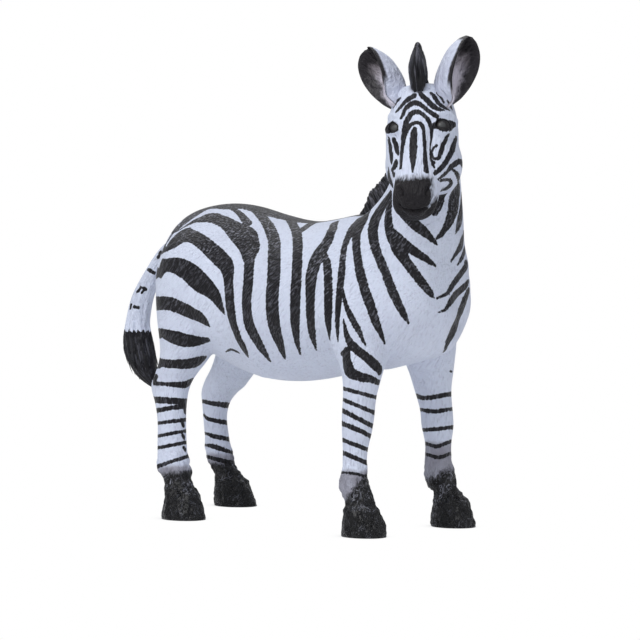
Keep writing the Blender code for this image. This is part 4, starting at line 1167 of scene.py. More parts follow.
@dataclass
class Coat:
    """Works out how far each point of the skin is from the painted stripes."""

    view: PhotoView
    body: BVHTree
    head: BVHTree
    head_frame: Matrix
    spans: int = 3
    widest: float = 2.4  # how much wider than seen a stripe may be on a slanted surface
    face_gain: float = 1.16  # how much wider than measured the face's stripes are laid, for their soft edges
    fade: float = 0.22  # over what turn away from the camera a mirrored stripe tapers in
    strides: int = 30  # how many strides a stripe is carried on round the back at most
    stride: float = 0.8
    stop: float = -1.6  # how near the middle plane it ends
    backwards: Row = (-1, 0.6, 0)  # the way it goes
    narrowed: float = 0.85  # the share of its width that it loses on the way to its point
    grown: float = 0.22  # the half width that it gains at each stride at most
    mid_x: float = 8.0  # parts the forelegs from the hind legs
    cheek_px: float = 430.0  # face stripes right of this column have a copy on the other cheek
    ear_px: Row = (428.0, 112.0)  # those right of this column and above this row run on over an ear
    head_band: int = 11  # points of a band that the photograph doesn't show
    sole: Row = (5.2, 4.2)  # heights over which a hoof turns black towards its sole
    muzzle_from: float = 18.1  # how far down the face the muzzle's edge is
    muzzle_bow: float = 1.5  # how much higher that edge is at the sides
    cheek_drop: float = 3.6  # how much lower it is on the cheeks

    def lay(self, pixels: Path, tree: BVHTree) -> tuple[np.ndarray, np.ndarray] | None:
        """Lays a stripe's path, with its widths, on a surface along the line of sight.

        Returns:
            The stripe's points and half widths in millimetres, or None where it misses the surface.
        """
        rows = spread(pixels, self.spans)
        hits = [tree.ray_cast(*self.view.ray(x, y))[0] for x, y, _ in rows]
        centres, halves = [], []
        for i, ((x, y, width), hit) in enumerate(zip(rows, hits)):
            if hit is None:
                continue
            before, after = max(i - 1, 0), min(i + 1, len(rows) - 1)
            ahead = rows[after] - rows[before]
            across = np.array((-ahead[1], ahead[0])) / max(math.hypot(ahead[0], ahead[1]), 1e-6) * width / 2
            way = ((hits[after] or hit) - (hits[before] or hit)).normalized()
            flat = max(width, 0.8) / 2 / self.view.pixels_per_mm
            sides = []
            for sign in (-1, 1):
                edge = tree.ray_cast(*self.view.ray(x + sign * across[0], y + sign * across[1]))[0]
                if edge is not None:
                    offset = edge - hit
                    sides.append((offset - way * offset.dot(way)).length)
            half = min(sum(sides) / len(sides), flat * self.widest) if sides else flat
            centres.append(np.array(hit))
            halves.append(max(half, flat * 0.6))
        return (np.array(centres), np.array(halves)) if len(centres) > 1 else None

    def carried(self, path: np.ndarray, halves: np.ndarray, rise: float) -> tuple[np.ndarray, ...]:
        """Carries a stripe's start on round the back of the rump or the thigh, narrowing to a point.

        Args:
            path: the stripe, its start at the edge of the visible side.
            halves: its half widths.
            rise: how steeply it climbs on the way.

        Returns:
            The longer path, its half widths and the fuller ones of the other side's copy.
        """
        extra, place = [], Vector(path[0])
        normal = self.body.find_nearest(place)[1]
        for _ in range(self.strides):
            way = UP.cross(normal).normalized()
            way = way if way.dot(Vector(self.backwards)) > 0 else -way
            place, normal = self.body.find_nearest(place + (way + UP * rise) * self.stride)[:2]
            extra.append(np.array(place))
            if place.y > self.stop:
                break
        count = np.arange(len(extra), 0, -1)
        narrowing = 1 - self.narrowed * (count / len(extra)) ** 1.5
        start = min(halves.max() * 0.75, 1.2)
        fuller = np.where(np.arange(len(halves)) < np.argmax(halves >= start), start, halves)
        longer = np.array(extra[::-1] + list(path))
        grown = np.clip(halves[0] + self.grown * count, None, max(start, halves[0]))
        return longer, np.append(grown * narrowing, halves), np.append(fuller[0] * narrowing, fuller)

    def across_body(self, path: np.ndarray) -> np.ndarray:
        """The other side's copy of a path on the trunk or the neck."""
        out = path.copy()
        for i, point in enumerate(path):
            x, _, height = point
            on_neck = float(np.clip((x - 18) / 8, 0, 1) * np.clip((height - 48) / 8, 0, 1))
            on_leg = float(smooth_step(np.array(height), 44, 34))
            fore = x > self.mid_x
            step = leg_at(LEFT_FORE_ROWS if fore else LEFT_HIND_ROWS, height)
            step = (step - leg_at(RIGHT_FORE_ROWS if fore else RIGHT_HIND_ROWS, height)) * on_leg
            middle_x, middle_y, degrees = neck_at(height, 0, 1, 6)
            turn = math.radians(degrees * on_neck)
            centre = np.array((middle_x, middle_y * on_neck, 0))
            side = np.array((math.sin(turn), math.cos(turn), 0.0))
            out[i] = point - 2 * ((point - centre) @ side) * side * (1, 1, 0) + (step, 0, 0)
        return out

    def across_head(self, path: np.ndarray) -> np.ndarray:
        """The other cheek's copy of a path on the head."""
        flip = self.head_frame @ Matrix.Diagonal((1, -1, 1, 1)) @ self.head_frame.inverted()
        return np.array([flip @ Vector(p) for p in path])

    def paint(self, obj: Object, laid: Sequence[Stripe]) -> np.ndarray:
        """Distance of each point of a moulding to the nearest stripe's edge, negative inside a stripe."""
        points, normals = points_of(obj), normals_of(obj)
        facing = normals @ self.view.back
        taper = 1.6 * np.clip((facing + self.fade) / self.fade, 0, 2)
        out = np.full(len(points), FAR)
        for path, halves, copied in laid:
            margin = halves.max() + 1.5
            near = ((points > path.min(axis=0) - margin) & (points < path.max(axis=0) + margin)).all(axis=1)
            index = np.flatnonzero(near)
            if len(index) == 0:
                continue
            gap = path_distance(points[index], path, halves)
            if copied:
                gap = gap + taper[index]
            out[index] = np.minimum(out[index], gap)
        return out

    def body_stripes(self) -> list[Stripe]:
        """Every stripe of the trunk and the neck, on both sides, and the line along the spine."""
        out = []
        for number, pixels in enumerate(BODY_STRIPES_PX):
            laid = self.lay(pixels, self.body)
            if laid is None:
                continue
            path, halves, copied = *laid, laid[1]
            if number in WRAPPED_STRIPES:
                path, halves, copied = self.carried(path, halves, WRAPPED_STRIPES[number])
            out.append((path, halves, False))
            out.append((self.across_body(path), copied, True))
        spine = [np.array(self.body.ray_cast(Vector((x, 0.0, 90.0)), -UP)[0]) for x, _ in SPINE_ROWS]
        out.append((np.array(spine), np.array([half for _, half in SPINE_ROWS]), False))
        edge, halves = self.lay(RUMP_EDGE_PX, self.body)
        for share in RUMP_EDGE_SHARES:
            near = [self.body.find_nearest(Vector(p * (1, share, 1)) + UP * (1 - share))[0] for p in edge]
            path, wide = np.array(near), np.maximum(halves, 2 * (1 - share))
            out += [(path, wide, False), (path * (1, -1, 1), wide, True)]
        return out + self.hidden_neck_stripes()

    def hidden_neck_stripes(self) -> list[Stripe]:
        """Bands round the neck from the mane down to the throat, where the photograph doesn't show it."""
        out = []
        for (height, sweep, half), degrees_round in itertools.product(HIDDEN_NECK_ROWS, HIDDEN_NECK_TURNS):
            path = []
            for degrees in range(*degrees_round):
                c, s = math.cos(math.radians(degrees)), math.sin(math.radians(degrees))
                level = height - sweep * c
                x, y, depth, width, turn = neck_at(level, 0, 1, 3, 4, 6)
                turned = spin(-turn, "Z")
                spot = Vector((x, y, level)) + turned @ FORE * (depth * c) + turned @ LEFT * (width * s)
                path.append(np.array(self.body.find_nearest(spot)[0]))
            wave = np.sin(np.linspace(0.25, math.pi - 0.05, len(path)))
            out.append((np.array(path), half * (0.45 + 0.55 * wave), True))
        return out

    def head_stripes(self) -> list[Stripe]:
        """Every stripe of the face and the cheeks, and the black round the eyes."""
        out = []
        for pixels in HEAD_STRIPES_PX + EYE_PATCHES_PX:
            laid = self.lay(pixels, self.head)
            if laid is None:
                continue
            gain = 1.0 if pixels in EYE_PATCHES_PX else self.face_gain
            path, halves = laid[0], laid[1] * gain
            out.append((path, halves, False))
            if min(p[0] for p in pixels) > self.cheek_px:
                out.append((self.across_head(path), halves, True))
        for down, half in HIDDEN_HEAD_ROWS:
            for sign in (-1, 1):
                path = []
                for k in range(self.head_band):
                    spot = Vector((down + 0.12 * k, sign * (6.4 - 0.07 * k * k), -3.0 - 0.95 * k))
                    path.append(np.array(self.head.find_nearest(self.head_frame @ spot)[0]))
                wave = np.sin(np.linspace(0.2, math.pi - 0.05, len(path)))
                out.append((np.array(path), half * (0.4 + 0.6 * wave), True))
        return out

    def lines_on_ear(self, ear: Object) -> None:
        """Stores the distance to the thin forehead lines that run on over the root of an ear."""
        seen = self.view.project(points_of(ear))
        out = np.full(len(seen), FAR)
        for pixels in HEAD_STRIPES_PX:
            table = np.array(pixels)
            if table[:, 0].min() > self.ear_px[0] and table[:, 1].max() < self.ear_px[1]:
                gap = path_distance(seen, table[:, :2], table[:, 2] / 2)
                out = np.minimum(out, gap / self.view.pixels_per_mm)
        hidden = normals_of(ear) @ self.view.back < 0.1
        set_values(ear, Attr.STRIPE, np.where(hidden, FAR, out))

    def bands(self, obj: Object, bands: Sequence[Path]) -> np.ndarray:
        """Distance to bands that go right round a limb, each at the height at which it is seen."""
        seen = self.view.project(points_of(obj))
        out = np.full(len(seen), FAR)
        for band in bands:
            columns, levels, widths = np.array(spread(band, 8)).T
            slope = np.gradient(levels, columns)
            x, y = seen.T
            middle, steep = np.interp(x, columns, levels), np.interp(x, columns, slope)
            beyond = (x - columns[-1]).clip(0) * slope[-1] + (x - columns[0]).clip(max=0) * slope[0]
            half = np.interp(x, columns, widths) / 2
            gap = np.abs(y - middle - beyond) / np.sqrt(1 + steep**2) - half
            out = np.minimum(out, gap / self.view.pixels_per_mm)
        return out

    def feet(self, name: str, points: np.ndarray) -> np.ndarray:
        """How far each point of a leg goes from the coat's colour, 0, to the hoof's, 1."""
        grey, across, black, slope = LEG_DIPS_PX[name]
        seen = self.view.project(points)
        level = seen[:, 1] - slope * (seen[:, 0] - across)
        dip = 0.55 * smooth_step(seen[:, 1], grey, grey + 13)
        dip += 0.45 * smooth_step(level, black - 13, black + 9)
        return dip + 0.5 * smooth_step(points[:, 2], *self.sole)

    def muzzle(self, head: Object) -> tuple[np.ndarray, np.ndarray]:
        """Distance of the head's points to the dark muzzle's edge, and how far down the face they are."""
        points, to_head = points_of(head), np.array(self.head_frame.inverted())
        down, aside, deep = (points @ to_head[:3, :3].T + to_head[:3, 3]).T
        sideways = np.abs(normals_of(head) @ np.array(self.head_frame)[:3, 1])
        edge = self.muzzle_from - self.muzzle_bow * np.clip(np.abs(aside) / 4, 0, 1) ** 2
        cheek = smooth_step(sideways, 0.80, 0.97) * smooth_step(deep, -7.6, -6.4)
        lip, widths = self.lay(LIP_EDGE_PX, self.head)
        upper = edge + self.cheek_drop * cheek - down
        return np.maximum(upper, -path_distance(points, lip, widths)), down


@dataclass
class Hair:
    """Scatters moulded locks over a surface, along the direction of growth that its points carry."""

    per_mm2: float
    length: float
    width: float
    flat: float = 0.45
    stray: float = 0.16
    seed: int = 3
    shade_seed: int = 11

    def lock(self) -> Object:
        """One lock of unit size: a tapering ridge along +Z, its back to -X."""
        bm = bmesh.new()
        rings = [oval(Vector((lift, 0, along)), FORE, LEFT, half, half, 8) for along, half, lift in LOCK_ROWS]
        loft(bm, rings)
        return to_object("lock", bm)

    def group(self) -> bpy.types.GeometryNodeTree:
        """The node group that scatters the locks."""
        tree = bpy.data.node_groups.new("moulded_hair", "GeometryNodeTree")
        face = tree.interface
        face.new_socket("Surface", in_out="INPUT", socket_type="NodeSocketGeometry")
        for name in ("Locks per square mm", "Length", "Width", "Flatness", "Stray"):
            face.new_socket(name, in_out="INPUT", socket_type="NodeSocketFloat")
        face.new_socket("Seed", in_out="INPUT", socket_type="NodeSocketInt")
        face.new_socket("Lock", in_out="INPUT", socket_type="NodeSocketObject")
        face.new_socket("Material", in_out="INPUT", socket_type="NodeSocketMaterial")
        face.new_socket("Hair", in_out="OUTPUT", socket_type="NodeSocketGeometry")

        def first(kind: str, settings: Settings, inputs: Inputs) -> bpy.types.NodeSocket:
            """The first output of a new node."""
            return add_node(tree, kind, settings, inputs).outputs[0]

        def carried(attr: Attr, kind: str) -> bpy.types.NodeSocket:
            """A value that the surface's points carry."""
            return first("GeometryNodeInputNamedAttribute", {"data_type": kind}, {"Name": attr.value})

        def maths(operation: str, *values: Any) -> bpy.types.NodeSocket:
            """A step of arithmetic."""
            return first("ShaderNodeMath", {"operation": operation}, dict(enumerate(values)))

        def one_random(seed: Any) -> bpy.types.NodeSocket:
            """A random share for each lock."""
            node = add_node(
                tree, "FunctionNodeRandomValue", {"data_type": "FLOAT"}, {2: 0.0, 3: 1.0, "Seed": seed}
            )
            return node.outputs[1]

        source = add_node(tree, "NodeGroupInput").outputs
        amount = maths("MULTIPLY", carried(Attr.DENSITY, "FLOAT"), source["Locks per square mm"])
        scatter = add_node(
            tree, "GeometryNodeDistributePointsOnFaces", {"distribute_method": "RANDOM"},
            {"Mesh": source["Surface"], "Density": amount, "Seed": source["Seed"]},
        )
        wander = first(
            "FunctionNodeRandomValue", {"data_type": "FLOAT_VECTOR"},
            {0: (-1.0, -1.0, -1.0), 1: (1.0, 1.0, 1.0), "Seed": source["Seed"]},
        )
        drift = first("ShaderNodeVectorMath", {"operation": "SCALE"}, {0: wander, "Scale": source["Stray"]})
        growth = carried(Attr.GROWTH, "FLOAT_VECTOR")
        way = first("ShaderNodeVectorMath", {"operation": "ADD"}, {0: growth, 1: drift})
        along = first("FunctionNodeAlignRotationToVector", {"axis": "Z"}, {"Vector": way})
        outward = first(
            "FunctionNodeAlignRotationToVector", {"axis": "X", "pivot_axis": "Z"},
            {"Rotation": along, "Vector": scatter.outputs["Normal"]},
        )
        vary = maths("MULTIPLY_ADD", one_random(source["Seed"]), 0.6, 0.7)
        long = maths("MULTIPLY", source["Length"], vary)
        thick = maths("MULTIPLY", source["Width"], source["Flatness"])
        size = first("ShaderNodeCombineXYZ", None, {0: thick, 1: source["Width"], 2: long})
        lock = add_node(tree, "GeometryNodeObjectInfo", None, {"Object": source["Lock"]}).outputs["Geometry"]
        placed = first(
            "GeometryNodeInstanceOnPoints", None,
            {"Points": scatter.outputs["Points"], "Instance": lock, "Rotation": outward, "Scale": size},
        )
        marked = first(
            "GeometryNodeStoreNamedAttribute", {"data_type": "FLOAT", "domain": "INSTANCE"},
            {"Geometry": placed, "Name": Attr.STRAND.value, "Value": one_random(self.shade_seed)},
        )
        real = first("GeometryNodeRealizeInstances", None, {"Geometry": marked})
        done = first("GeometryNodeSetMaterial", None, {"Geometry": real, "Material": source["Material"]})
        add_node(tree, "NodeGroupOutput", None, {0: done})
        return tree

    def grow(self, name: str, surface: Object, material: bpy.types.Material) -> Object:
        """Grows hair, as a plain mesh, on a surface whose points carry a growth direction and a density."""
        hair = copy_of(surface, name)
        lock = self.lock()
        modifier = hair.modifiers.new("hair", "NODES")
        tree = self.group()
        modifier.node_group = tree
        given = {
            "Locks per square mm": self.per_mm2, "Length": self.length, "Width": self.width,
            "Flatness": self.flat, "Stray": self.stray, "Seed": self.seed, "Lock": lock, "Material": material,
        }
        for item in tree.interface.items_tree:
            if item.in_out == "INPUT" and item.name in given:
                modifier[item.identifier] = given[item.name]
        bake(hair)
        bpy.data.objects.remove(lock, do_unlink=True)
        bpy.data.node_groups.remove(tree)
        return hair


@dataclass
class Mane:
    """The upright mane and the forelock."""

    thickness: float = 2.8
    root: float = 1.6
    around: int = 48
    per_span: int = 26
    strand: float = 0.13
    ragged: float = 0.24
    ridges: float = 0.36
    lock_room: float = 3.2
    locks_end: float = 0.62
    forelock_from: float = 37.4
    wave_lengths: Row = (0.55, 0.8, 1.15, 1.9)
    seed: int = 5

    def build(self) -> Object:
        """The mane's blade, its strands moulded into its sides, with growth and density on its points."""
        rows = spread(MANE_ROWS, self.per_span)
        points = [Vector(row[:3]) for row in rows]
        rng = np.random.default_rng(self.seed)
        waves = []
        for length in self.wave_lengths:
            waves.append((length, *rng.uniform(0, math.tau, 2), *rng.uniform(-1.2, 1.2, 2)))
        bm = bmesh.new()
        rings, growth, density, strand, place = [], [], [], [], []
        walked = combed = 0.0
        for i, row in enumerate(rows):
            ahead = (points[min(i + 1, len(rows) - 1)] - points[max(i - 1, 0)]).normalized()
            stride = (points[i] - points[i - 1]).length if i else 0.0
            walked += stride
            combed += stride * (1.0 if row[0] < self.forelock_from else 0.15)
            grows = Vector(row[4:7]).normalized()
            across = ahead.cross(grows).normalized()
            crest = sum(math.sin(math.tau * walked / length + a) for length, a, _, _, _ in waves[1:]) / 3
            tall = row[3] + self.ragged * crest * min(row[3] / 4, 1)
            middle, reach = (tall - self.root) / 2, (tall + self.root) / 2
            front = float(smooth_step(np.array(i / (len(rows) - 1)), 0.91, 1.0))
            ring = []
            for k in range(self.around):
                c, s = round_at(k, self.around)
                high = (c + 1) / 2
                groove = 0.0
                for length, a, b, p, q in waves:
                    start, bend = (a, p) if s > 0 else (b, q)
                    groove += math.sin(math.tau * combed / length + start + bend * high * 3)
                groove /= 2.2
                flank = min(abs(s) * 2, 1)
                full = self.thickness / 2 * (1 - 0.35 * max(c, 0) - 0.58 * front * max(-c, 0.2))
                half = full + self.strand * groove * flank
                height = middle + reach * math.copysign(abs(c) ** 0.8, c)
                aside = half * math.copysign(abs(s) ** 0.85, s)
                comb_at = Vector((combed * 1.7, aside * 2.2, height * 0.16))
                ridge = self.ridges * (1 + 0.5 * front) * noise.noise(comb_at) * min(max(height, 0), 1)
                out = across * s + ahead * (front * max(1 - abs(s), 0))
                ring.append(points[i] + grows * height + across * aside + out * ridge)
                growth.append(grows)
                on_neck = i < self.locks_end * len(rows)
                density.append(1.0 if on_neck and c > -0.7 and height < tall - self.lock_room else 0.0)
                place.append((combed, aside * 1.4, height))
                # Strands that stand out carry a higher value, for their painted highlight
                strand.append(min(max(0.5 + 0.5 * groove * flank, 0), 1))
            rings.append(ring)
        loft(bm, rings)
        blade = to_object("mane_blade", bm)
        set_values(blade, Attr.FUR, with_ends(place))
        set_values(blade, Attr.GROWTH, with_ends([g[:] for g in growth]))
        set_values(blade, Attr.DENSITY, np.array(density + [0.0, 0.0]))
        set_values(blade, Attr.STRAND, np.array(strand + [0.5, 0.5]))
        return blade


@dataclass
class Tail:
    """The hanging tail, a ringed dock with a heavy tuft."""

    around: int = 64
    per_span: int = 22
    locks_end: float = 0.80
    view: PhotoView = field(default_factory=PhotoView)

    def build(self) -> Object:
        """The tail, grooved along the hair of the tuft."""
        rows = spread(TAIL_ROWS, self.per_span)
        points = [Vector(row[:3]) for row in rows]
        bm = bmesh.new()
        rings, growth, share, place = [], [], [], []
        walked = 0.0
        for i, row in enumerate(rows):
            t = i / (len(rows) - 1)
            walked += (points[i] - points[i - 1]).length if i else 0.0
            ahead = (points[min(i + 1, len(rows) - 1)] - points[max(i - 1, 0)]).normalized()
            over = LEFT.cross(ahead).normalized()
            hairy = float(smooth_step(np.array(t), 0.42, 0.62))
            ring = []
            for k in range(self.around):
                angle = math.tau * k / self.around
                groove = 0.5 * math.sin(11 * angle + 5 * t) + 0.5 * math.sin(7 * angle - 9 * t + 1.3)
                half = row[3] * (1 + 0.075 * hairy * groove + 0.02 * math.sin(9 * angle + 30 * t))
                across = LEFT * (half * 0.9 * math.sin(angle))
                ring.append(points[i] + over * (half * math.cos(angle)) + across)
                growth.append(ahead)
                share.append(hairy if t < self.locks_end else 0.0)
                around = (angle - math.pi / 2) % math.tau
                place.append((around * 2.2, 3.0, walked))
            rings.append(ring)
        loft(bm, rings)
        share += [0.0, 0.0]
        tail = to_object("tail", bm)
        set_values(tail, Attr.FUR, with_ends(place))
        seen = self.view.project(points_of(tail))
        ticks = np.full(len(seen), FAR)
        for tick in TAIL_TICKS_PX:
            table = np.array(tick)
            gap = path_distance(seen, table[:, :2], table[:, 2] / 2 * 0.8)
            ticks = np.minimum(ticks, gap / self.view.pixels_per_mm)
        ragged = 1.3 * np.sin(seen[:, 0] * 1.35) + 0.9 * np.sin(seen[:, 0] * 2.9 + 1)
        black = (TAIL_TUFT_PX + ragged - seen[:, 1]) / self.view.pixels_per_mm
        tuft = smooth_step(seen[:, 1], TAIL_TUFT_PX - 3, TAIL_TUFT_PX + 6)
        set_values(tail, Attr.STRIPE, np.minimum(ticks, black))
        set_values(tail, Attr.DIP, np.zeros(len(seen)))
        set_values(tail, Attr.MUZZLE, np.full(len(seen), FAR))
        set_values(tail, Attr.PAINTED_GLINT, np.full(len(seen), 0.25))
        set_values(tail, Attr.GROWTH, with_ends([g[:] for g in growth]))
        set_values(tail, Attr.DENSITY, tuft * np.array(share))
        return tail


@dataclass
class Ears:
    """The two cupped ears."""

    frame: Matrix
    around: int = 72
    per_span: int = 9

    def build(self, name: str) -> Object:
        """One ear, with its place in the cup on its points."""
        side, lean, back, cup = EAR_STANDS[name]
        down, out, deep = EAR_ROOTS[name]
        root = self.frame @ Vector((down, side * out, deep))
        turn = Matrix.Rotation(HEAD_TURN, 3, "Z")
        facing = turn @ spin(-side * lean, "X") @ spin(-back, "Y") @ spin(side * cup, "Z")
        along_ear, inward = facing @ UP, self.frame.to_3x3() @ LEFT * -side
        bm = bmesh.new()
        rings, inner, across_cup, far, place = [], [], [], [], []
        for along, half, wall, curl, twist, shift, pull in spread(EAR_ROWS, self.per_span):
            turned = spin(side * twist, along_ear) @ facing
            across, ahead = turned @ LEFT, turned @ FORE
            centre = root + (along_ear * along + across * (side * shift) + inward * pull) * EAR_LENGTH
            ring = []
            for i in range(self.around):
                c, s = round_at(i, self.around)
                lip = 0.016 * math.exp(-(((abs(s) - 0.93) / 0.07) ** 2)) * min(max(along * 6, 0), 1)
                depth = (wall * abs(c) ** 0.8 + lip) * math.copysign(1, c) + curl * (s * s - 0.5)
                ring.append(centre + across * (half * s * EAR_LENGTH) + ahead * (depth * EAR_LENGTH))
                inner.append(0.5 + 0.5 * math.copysign(min(abs(c) * 6, 1), c))
                across_cup.append(-side * s)
                far.append(along)
                place.append((half * s * EAR_LENGTH, 7 * math.copysign(1, c), along * EAR_LENGTH))
            rings.append(ring)
        loft(bm, rings)
        ear = to_object(name, bm)
        set_values(ear, Attr.FUR, with_ends(place))
        for values, attr in ((inner, Attr.INNER), (across_cup, Attr.ACROSS), (far, Attr.ALONG)):
            set_values(ear, attr, with_ends(values))
        return ear


@dataclass
class Eyes:
    """The two glossy eyes, set where the photograph shows them."""

    view: PhotoView
    head: BVHTree
    radius: float = 1.45
    sunk: float = 1.0
    iris: Row = (0.72, 0.54)

    def spot(self, name: str) -> tuple[Vector, Vector]:
        """The middle of an eye's opening, and which way the face is turned there."""
        x, y = EYE_PLACES_PX[name]
        hit, normal = self.head.ray_cast(*self.view.ray(x, y))[:2]
        for dx, dy in ((-3, 0), (3, 0), (0, -3), (0, 3)):
            other = self.head.ray_cast(*self.view.ray(x + dx, y + dy))[1]
            if other is not None:
                normal = normal + other
        return hit, normal.normalized()

    def build(self, name: str) -> Object:
        """One eyeball, turned the way the eye looks."""
        hit, normal = self.spot(name)
        bm = bmesh.new()
        centre = hit - normal * self.sunk
        bmesh.ops.create_icosphere(bm, subdivisions=5, radius=self.radius, matrix=Matrix.Translation(centre))
        eye = to_object(name, bm)
        looks = normal.lerp(Vector(self.view.back), 0.3).normalized()
        level = looks.cross(UP).normalized()
        offset = points_of(eye) - np.array(centre)
        wide, high = offset @ np.array(level), offset @ np.array(level.cross(looks))
        behind = (offset @ np.array(looks) < 0) * FAR
        set_values(eye, Attr.GAZE, np.hypot(wide / self.iris[0], high / self.iris[1]) + behind)
        return eye

    def lids(self, head: Object) -> None:
        """Sinks the sockets and raises the lids round the eyeballs."""
        points, normals = points_of(head), normals_of(head)
        move = np.zeros(len(points))
        for name in EYE_PLACES_PX:
            hit, normal = self.spot(name)
            down = Vector((0, 0, -1))
            level = normal.cross(down).normalized()
            tall = level.cross(normal).normalized()
            offset = points - np.array(hit)
            near = np.linalg.norm(offset, axis=1) < 4
            wide, high = (offset @ np.array(level)) / 1.42, (offset @ np.array(tall)) / 1.02
            reach = np.hypot(wide, high)
            lid = 0.34 * np.exp(-(((reach - 1.12) / 0.26) ** 2))
            move += near * (lid - 0.55 * smooth_step(reach, 1.0, 0.7))
            crease = np.hypot(wide, high - 0.25)
            move -= near * 0.12 * np.exp(-(((crease - 1.75) / 0.16) ** 2)) * (high > 0)
        set_points(head, points + normals * move[:, None])


@dataclass
class Studio:
    """A pale floor, a white surround and soft lights."""

    floor_radius: float = 4.0
    white: Row = (0.93, 0.93, 0.94)
    speck: Row = (0.9, 0.9, 0.91)
    painted_contact_shadow: Row = (0.42, 0.43, 0.46)
    shade_reach: float = 0.010

    def floor(self) -> Object:
        """A round floor, white to the camera but for a painted shadow where the hooves stand."""
        bm = bmesh.new()
        bmesh.ops.create_circle(bm, cap_ends=True, segments=96, radius=self.floor_radius)
        floor = to_object("studio_floor", bm)
        g = Graph("floor_pale")
        grain = g.noise(g.place, 900.0, 2.0)
        matt = g.first("ShaderNodeBsdfDiffuse", None, {"Color": g.mix(grain * 0.1, self.white, self.speck)})
        cover = g.node("ShaderNodeAmbientOcclusion", {"samples": 16}, {"Distance": self.shade_reach})
        # Painted shadow: camera rays see the floor's white darkened by ambient occlusion near the hooves
        shade = g.mix(Socket(g, cover.outputs["AO"]).step(0.0, 0.85), self.painted_contact_shadow, (1.0, 1.0, 1.0))
        white_with_painted_shadow = g.first("ShaderNodeEmission", None, {"Color": shade, "Strength": 1.0})
        seen = g.node("ShaderNodeLightPath").outputs["Is Camera Ray"]
        mixed = g.first("ShaderNodeMixShader", None, {0: seen, 1: matt, 2: white_with_painted_shadow})
        g.node("ShaderNodeOutputMaterial", None, {0: mixed})
        floor.data.materials.append(g.material)
        return floor

    def world(self) -> None:
        """White to the camera, soft cool light to the figure."""
        world = bpy.data.worlds.new("studio_world")
        bpy.context.scene.world = world
        world.use_nodes = True
        tree = world.node_tree
        tree.nodes.clear()
        seen = add_node(tree, "ShaderNodeLightPath").outputs["Is Camera Ray"]
        light = add_node(tree, "ShaderNodeBackground", None, {0: (0.95, 0.97, 1.0, 1), 1: 0.42}).outputs[0]
        white = add_node(tree, "ShaderNodeBackground", None, {0: (1, 1, 1, 1), 1: 1.0}).outputs[0]
        mixer = add_node(tree, "ShaderNodeMixShader", None, {0: seen, 1: light, 2: white})
        add_node(tree, "ShaderNodeOutputWorld", None, {0: mixer.outputs[0]})

    def lamp(
        self, name: str, azimuth_deg: float, elevation_deg: float, distance: float, size: float, watts: float,
        colour: Row = (1, 1, 1),
    ) -> None:
        """One square soft light aimed at the figure."""
        data = bpy.data.lights.new(name, "AREA")
        data.shape, data.size, data.energy, data.color = "SQUARE", size, watts, colour
        lamp = bpy.data.objects.new(name, data)
        a, e = math.radians(azimuth_deg), math.radians(elevation_deg)
        way = Vector((math.sin(a) * math.cos(e), -math.cos(a) * math.cos(e), math.sin(e)))
        lamp.location = Vector((0, 0, 0.045)) + way * distance
        lamp.rotation_euler = way.to_track_quat("Z", "Y").to_euler()
        bpy.context.scene.collection.objects.link(lamp)

    def build(self) -> None:
        """Puts the studio round the figure."""
        self.floor()
        self.world()
        self.lamp("key", 12, 50, 0.9, 0.5, 5.0)
        self.lamp("top", 50, 82, 0.9, 0.6, 1.6)
        self.lamp("fill", 95, 15, 1.1, 0.7, 0.8, (0.93, 0.95, 1.0))
        self.lamp("back", 235, 40, 1.1, 0.7, 1.5)
        scene = bpy.context.scene
        scene.view_settings.view_transform = "Standard"


def paint_joint_shade(obj: Object, others: Sequence[tuple[Object, float]], reach: float = 0.55) -> None:
    """Stores the painted shade at the joints: how near each point is to the pieces that it touches.

    Args:
        others: its neighbours, each with the depth of its joint's painted shade from 0 to 1.
        reach: how far off, in millimetres, the painted shade of a joint ends.
    """
    points = points_of(obj)
    near = np.zeros(len(points))
    for other, depth in others:
        tree, place = tree_of(other), points_of(other)
        inside = ((points > place.min(axis=0) - 1) & (points < place.max(axis=0) + 1)).all(axis=1)
        for i in np.flatnonzero(inside):
            found = tree.find_nearest(Vector(points[i]), 1.0)
            if found[0] is not None:
                near[i] = max(near[i], depth * max(1 - found[3] / reach, 0) ** 1.5)
    set_values(obj, Attr.NEAR, near)


def hand_over(
    obj: Object, name: str, node: str | None, material: bpy.types.Material | None
) -> None:
    """Turns a finished piece to metres, dresses it, hangs it on the body and hides the solid that it stands
    for.

    Args:
        obj: the piece, in millimetres.
        name: its name.
        node: the solid that it stands for, if it stands for one.
        material: its finish, unless it has one.
    """
    obj.name = name
    obj.data.name = name
    obj.data.transform(TO_PACKED)
    obj.data.update()
    if material is not None:
        obj.data.materials.clear()
        obj.data.materials.append(material)
    obj.data.shade_smooth()
    obj.data.set_sharp_from_angle(angle=math.radians(50))
    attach(obj, BODY)
    if node:
        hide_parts(node)
    log.info("%-26s %7d faces", name, len(obj.data.polygons))


def comb(obj: Object, name: str, head: Matrix) -> None:
    """Stores each point's place along the axes of the hair: back, and down the legs and the face."""
    points = points_of(obj)
    if name == "head":
        local = points @ np.array(head)[:3, :3].T + np.array(head)[:3, 3]
        set_values(obj, Attr.FUR, local[:, (1, 2, 0)])
        return
    lean = math.radians(8 if name in LEGS else 40)
    along = points[:, 0] * math.sin(lean) + points[:, 2] * math.cos(lean)
    over = points[:, 0] * math.cos(lean) - points[:, 2] * math.sin(lean)
    set_values(obj, Attr.FUR, np.stack([over, points[:, 1], along], axis=1))


